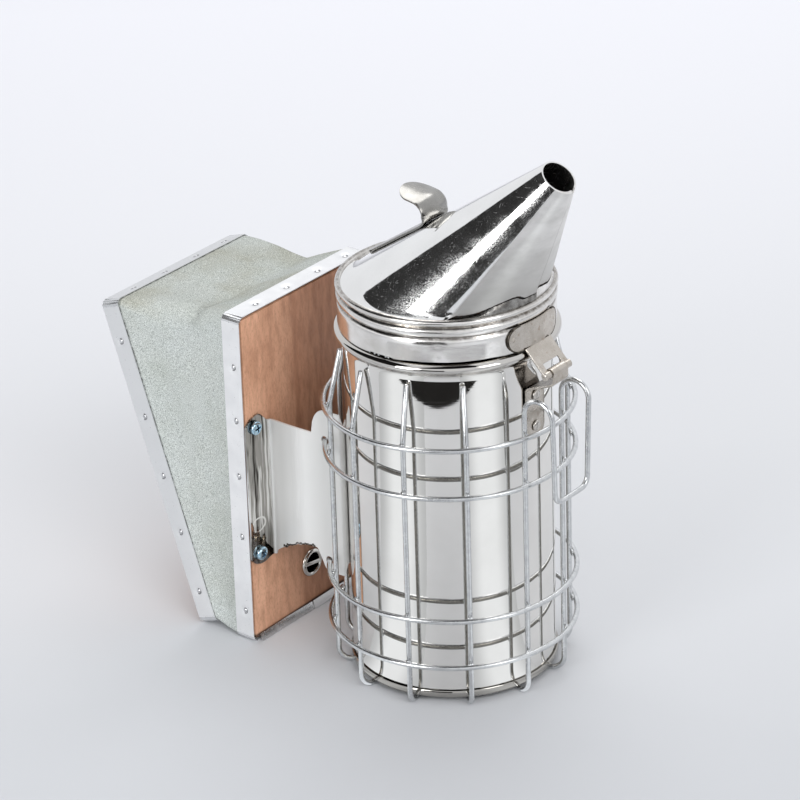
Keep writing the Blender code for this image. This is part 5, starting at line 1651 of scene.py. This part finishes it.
face = POT_R + SEAT + LEAF_SHEET / 2
curl = HINGE_BAR + SEAT + LEAF_SHEET / 2
bends = rounded_path(
    (
        (face, 0, LEAF_LOW),
        (face, 0, LEAF_BEND),
        axle + Vector((curl, 0, -2.6 * curl)),
        axle + Vector((curl, 0, 0)),
    ),
    (LEAF_BEND_R, LEAF_BEND_R),
)
path = [bends[0].lerp(bends[1], (k / LEAF_STEPS) ** 1.6) for k in range(LEAF_STEPS)] + bends[1:]
for k in range(1, LEAF_STEPS + 1):
    a = KNUCKLE_TURN * k / LEAF_STEPS
    path.append(axle + curl * Vector((math.cos(a), 0, math.sin(a))))
lines = []
for point in path:
    end = min(1, max(0, point.z - LEAF_LOW) / LEAF_HALF)
    half = LEAF_HALF * max(0.12, math.sqrt(1 - (1 - end) ** 2))
    narrow = smooth_step((point.z - LEAF_BEND) / (HINGE_Z - 2 * curl - LEAF_BEND))
    half += (KNUCKLE_HALF - LEAF_HALF) * narrow
    lines.append([point + Vector((0, half * j / 6, 0)) for j in range(-6, 7)])
leaf = thickened(as_object("hinge_leaf", sheet_strip(lines), 60), LEAF_SHEET)
fix(leaf, hinge_steel, "pot", "polished_stainless", "hinge_lower_leaf")


# Hinge rivets: two steel rivets through the leaf and the pot's wall, with round heads set outside and flat
# tails closed up inside.
RIVET_HEIGHTS = (HINGE_Z - 0.0321, HINGE_Z - 0.0161)
RIVET_HEAD = 0.0027
RIVET_HEAD_HEIGHT = 0.0013
RIVET_SHANK = 0.0014
RIVET_RIM = 0.0003
RIVET_TONE = (0.70, 0.675, 0.64)
RIVET_SHADE = (0.50, 0.47, 0.43)

rivet_steel = metal(
    "rivet_steel", RIVET_TONE, RIVET_SHADE,
    patch=380, smooth=0.16, rough=0.34, grain=500, groove=0.000008, wave=260, wave_depth=0.00006,
)
rivet_seat = POT_R + LEAF_SHEET + 2 * SEAT
rivet_tail = inner_wall - SEAT
dome = []
for k in range(11):
    a = math.pi / 2 * k / 10
    dome.append((RIVET_HEAD * math.sin(a), rivet_seat + RIVET_RIM + (RIVET_HEAD_HEIGHT - RIVET_RIM) * math.cos(a)))
rivet_outline = dome + [
    (RIVET_HEAD, rivet_seat), (RIVET_SHANK, rivet_seat), (RIVET_SHANK, rivet_tail),
    (RIVET_HEAD * 0.85, rivet_tail), (RIVET_HEAD * 0.8, rivet_tail - 0.0007), (0, rivet_tail - 0.0008),
]
for height, level in zip(RIVET_HEIGHTS, ("lower", "upper")):
    rivet = facing(turned(rivet_outline, 40, ring=False), (0, 0, height), (1, 0, 0))
    fix(as_object(f"rivet_{level}", rivet), rivet_steel, "pot", "polished_stainless", f"hinge_rivet_{level}")


# Studio: a sheet of pale paper on the floor, painted from cool grey in front to near white behind as painted
# falloff of the light. It is no part of the smoker.
VIEW_TURN = math.radians(38.385)
PAPER_NEAR_PAINTED_SHADE = (0.525, 0.537, 0.560)
PAPER_MIDDLE = (0.715, 0.724, 0.746)
PAPER_FAR_PAINTED_LIGHT = (0.885, 0.890, 0.935)
PAPER_FIBRE = (0.5, 0.5, 0.5)
FLOOR = 6

paper, tree, shader, place = blank("pale_paper", 0, 0.6)
away = node(tree, "Mapping", Vector=place, Rotation=(0, 0, -VIEW_TURN)).outputs["Vector"]
away = node(tree, "SeparateXYZ", Vector=away).outputs["Y"]
fibre = speckle(tree, place, 300, 4)
# Painted shade and light: the paper is painted grey in front and near white behind.
sheet = mix(tree, spread(tree, away, 0, 1, -0.20, 0.20), PAPER_NEAR_PAINTED_SHADE, PAPER_MIDDLE)
sheet = mix(tree, spread(tree, away, 0, 1, 0.20, 0.90), sheet, PAPER_FAR_PAINTED_LIGHT)
sheet = mix(tree, spread(tree, fibre, 0, 0.02), sheet, PAPER_FIBRE)
plug(tree, shader, Base_Color=sheet, Specular_IOR_Level=0.2)


def stage_sheet(name, corners, finish):
    """A flat sheet of the studio."""
    mesh = bpy.data.meshes.new(name)
    mesh.from_pydata(corners, [], [tuple(range(len(corners)))])
    mesh.materials.append(finish)
    made = bpy.data.objects.new(name, mesh)
    bpy.context.collection.objects.link(made)
    return made


stage_sheet("paper_floor", [(-FLOOR, -FLOOR, 0), (FLOOR, -FLOOR, 0), (FLOOR, FLOOR, 0), (-FLOOR, FLOOR, 0)], paper)


# Flags: black cards hung at the left and overhead, and laid and stood up in front, with one bowed strip on the
# floor. Only polished metal sees them, as the dark bands in its reflections.
AIM = Vector((POT_X, 0, 0.12))
CARD_BLACK = (0.010, 0.010, 0.010)
CARD_FIBRE = (0.018, 0.017, 0.016)
FRONT_WAY = math.radians(-71)
BOW_WAY = math.radians(115.4)
BOW_AWAY = 0.181
BOW_SWEEP = -64.6
BOW_NEAR = 0.553
BOW_FAR = 0.605
CARD_START = 0.75
CARD_STOP = 1.6
CARD_NEAR = 0.22
CARD_FAR = 0.42
CARD_UP = Vector((0, 0, 0.5))


def from_pot(azimuth, elevation, distance):
    """A point so far from the middle of the pot, in a direction given in degrees."""
    a, e = math.radians(azimuth), math.radians(elevation)
    return AIM + distance * Vector((math.cos(e) * math.cos(a), math.cos(e) * math.sin(a), math.sin(e)))


card, tree, shader, place = blank("black_card", 0, 0.9)
fibre = speckle(tree, place, 40, 4)
plug(tree, shader, Base_Color=mix(tree, fibre, CARD_BLACK, CARD_FIBRE), Specular_IOR_Level=0.0)


def flag(name, finish, corners):
    """A card that shows in reflections only."""
    made = stage_sheet(name, corners, finish)
    made.visible_camera = False
    made.visible_diffuse = False
    made.visible_shadow = False
    made.visible_transmission = False


for name, distance, start, stop, low, high in (
    ("left_flag", 1.9, -176, -104, 15, 60),
    ("high_flag", 2.2, -88, -16, 42, 98),
):
    corners = ((start, low), (stop, low), (stop, high), (start, high))
    flag(name, card, [from_pot(azimuth, elevation, distance) for azimuth, elevation in corners])
front = around(1, FRONT_WAY, 0)
across = Vector((-front.y, front.x, 0))
middle = Vector((POT_X, 0, 0.002))
bow = middle + BOW_AWAY * around(1, BOW_WAY, 0)
sweep = [math.radians(BOW_SWEEP + 2 * k) for k in range(-18, 19)]
strip = [bow + around(BOW_NEAR, a, 0) for a in sweep] + [bow + around(BOW_FAR, a, 0) for a in reversed(sweep)]
flag("front_strip", card, strip)
near, far = middle + front * CARD_START, middle + front * CARD_STOP
left, right = far - across * CARD_FAR, far + across * CARD_FAR
flag("front_flag", card, [near - across * CARD_NEAR, left, right, near + across * CARD_NEAR])
flag("front_upright", card, [left, right, right + CARD_UP, left + CARD_UP])


# Reflectors: two glowing fans on the floor beside the camera, which stand in for bright paper. Only polished metal
# sees them, as the soft bright stripes down the can.
FAN_NEAR = 0.0525
FAN_FAR = 0.45
FAN_STEPS = 24
FAN_LIGHT = (0.935, 0.965, 1, 1)
FAN_MIDDLE = 1.02
FAN_EDGE = 0.62


def reflector(name, azimuth, half):
    """A glowing fan round the pot, brightest along its middle."""
    paper, tree, shader, place = blank(name, 0, 1.0)
    place = node(tree, "Mapping", Vector=place, Location=(-POT_X, 0, 0)).outputs["Vector"]
    place = node(tree, "Mapping", Vector=place, Rotation=(0, 0, -math.radians(azimuth))).outputs["Vector"]
    parts = node(tree, "SeparateXYZ", Vector=place).outputs
    aside = maths(tree, "ABSOLUTE", maths(tree, "ARCTAN2", parts["Y"], parts["X"]))
    glow = node(
        tree, "MapRange", {"interpolation_type": "SMOOTHSTEP"}, Value=aside,
        From_Min=math.radians(half * 0.25), From_Max=math.radians(half), To_Min=FAN_MIDDLE, To_Max=FAN_EDGE,
    ).outputs["Result"]
    plug(
        tree, shader,
        Base_Color=(0, 0, 0, 1), Specular_IOR_Level=0.0, Emission_Color=FAN_LIGHT, Emission_Strength=glow,
    )
    angles = [math.radians(azimuth + half * (2 * k / FAN_STEPS - 1)) for k in range(FAN_STEPS + 1)]
    rim = [around(FAN_FAR, a, 0.001) for a in angles] + [around(FAN_NEAR, a, 0.001) for a in reversed(angles)]
    flag(name, paper, [point + Vector((POT_X, 0, 0)) for point in rim])


reflector("left_reflector", -104, 26)
reflector("right_reflector", -16, 25)


# Lights: four softboxes and a pale room, which light the smoker at a plain level. The room is brighter where it
# is seen, straight or in a reflection, than where it only lights.
ROOM = (0.92, 0.935, 0.965, 1)
ROOM_LIT = 0.52
ROOM_SEEN = 0.95


def softbox(name, azimuth, elevation, distance, size, power):
    """A lamp behind a sheet of cloth, aimed at the middle of the pot."""
    lamp = bpy.data.lights.new(name, "AREA")
    lamp.shape = "RECTANGLE"
    lamp.size, lamp.size_y = size
    lamp.energy = power
    made = bpy.data.objects.new(name, lamp)
    bpy.context.collection.objects.link(made)
    made.location = from_pot(azimuth, elevation, distance)
    made.rotation_mode = "QUATERNION"
    made.rotation_quaternion = (made.location - from_pot(0, 0, 0)).to_track_quat("Z", "Y")
    return made


softbox("left_softbox", -92, 16, 1.7, (0.7, 0.9), 12)
softbox("back_softbox", 120, 62, 2.4, (1.8, 1.8), 26)
softbox("right_softbox", -10, 30, 1.9, (0.6, 1.0), 5)
fill = softbox("front_fill", -38, 38, 2.0, (1.0, 1.0), 15)
fill.visible_glossy = False
world = bpy.data.worlds.new("studio_room")
bpy.context.scene.world = world
world.use_nodes = True
tree = world.node_tree
seen = node(tree, "LightPath").outputs
seen_direct = maths(tree, "MAXIMUM", seen["Is Camera Ray"], seen["Is Glossy Ray"])
seen_any = maths(tree, "MAXIMUM", seen_direct, seen["Is Transmission Ray"])
plug(tree, tree.nodes["Background"], Color=ROOM, Strength=spread(tree, seen_any, ROOM_LIT, ROOM_SEEN))
bpy.context.scene.view_settings.view_transform = "Standard"


# Camera: a long lens, a little above the smoker and to its right, with the photograph's slight roll. Its focal
# length is given in pixels of the photograph.
VIEW_RISE = math.radians(25.6035)
VIEW_ROLL = math.radians(1.7504)
SENSOR = 36
FOCAL_PIXELS = 4006.5
PICTURE_PIXELS = 800
EYE_BACK = 1.93493
EYE_LEFT = 0.023483
EYE_UP = 0.034666

lens = bpy.data.cameras.new("camera")
lens.sensor_width = SENSOR
lens.lens = FOCAL_PIXELS * SENSOR / PICTURE_PIXELS
lens.clip_end = 50
camera = bpy.data.objects.new("camera", lens)
bpy.context.collection.objects.link(camera)
right = Vector((math.cos(VIEW_TURN), math.sin(VIEW_TURN), 0))
level = math.cos(VIEW_RISE)
back = Vector((level * math.sin(VIEW_TURN), -level * math.cos(VIEW_TURN), math.sin(VIEW_RISE)))
up = back.cross(right)
eye = Vector((POT_X, 0, 0.1)) + back * EYE_BACK - right * EYE_LEFT + up * EYE_UP
rolled_right = math.cos(VIEW_ROLL) * right - math.sin(VIEW_ROLL) * up
rolled_up = math.sin(VIEW_ROLL) * right + math.cos(VIEW_ROLL) * up
camera.matrix_world = Matrix.Translation(eye) @ Matrix((rolled_right, rolled_up, back)).transposed().to_4x4()
bpy.context.scene.camera = camera
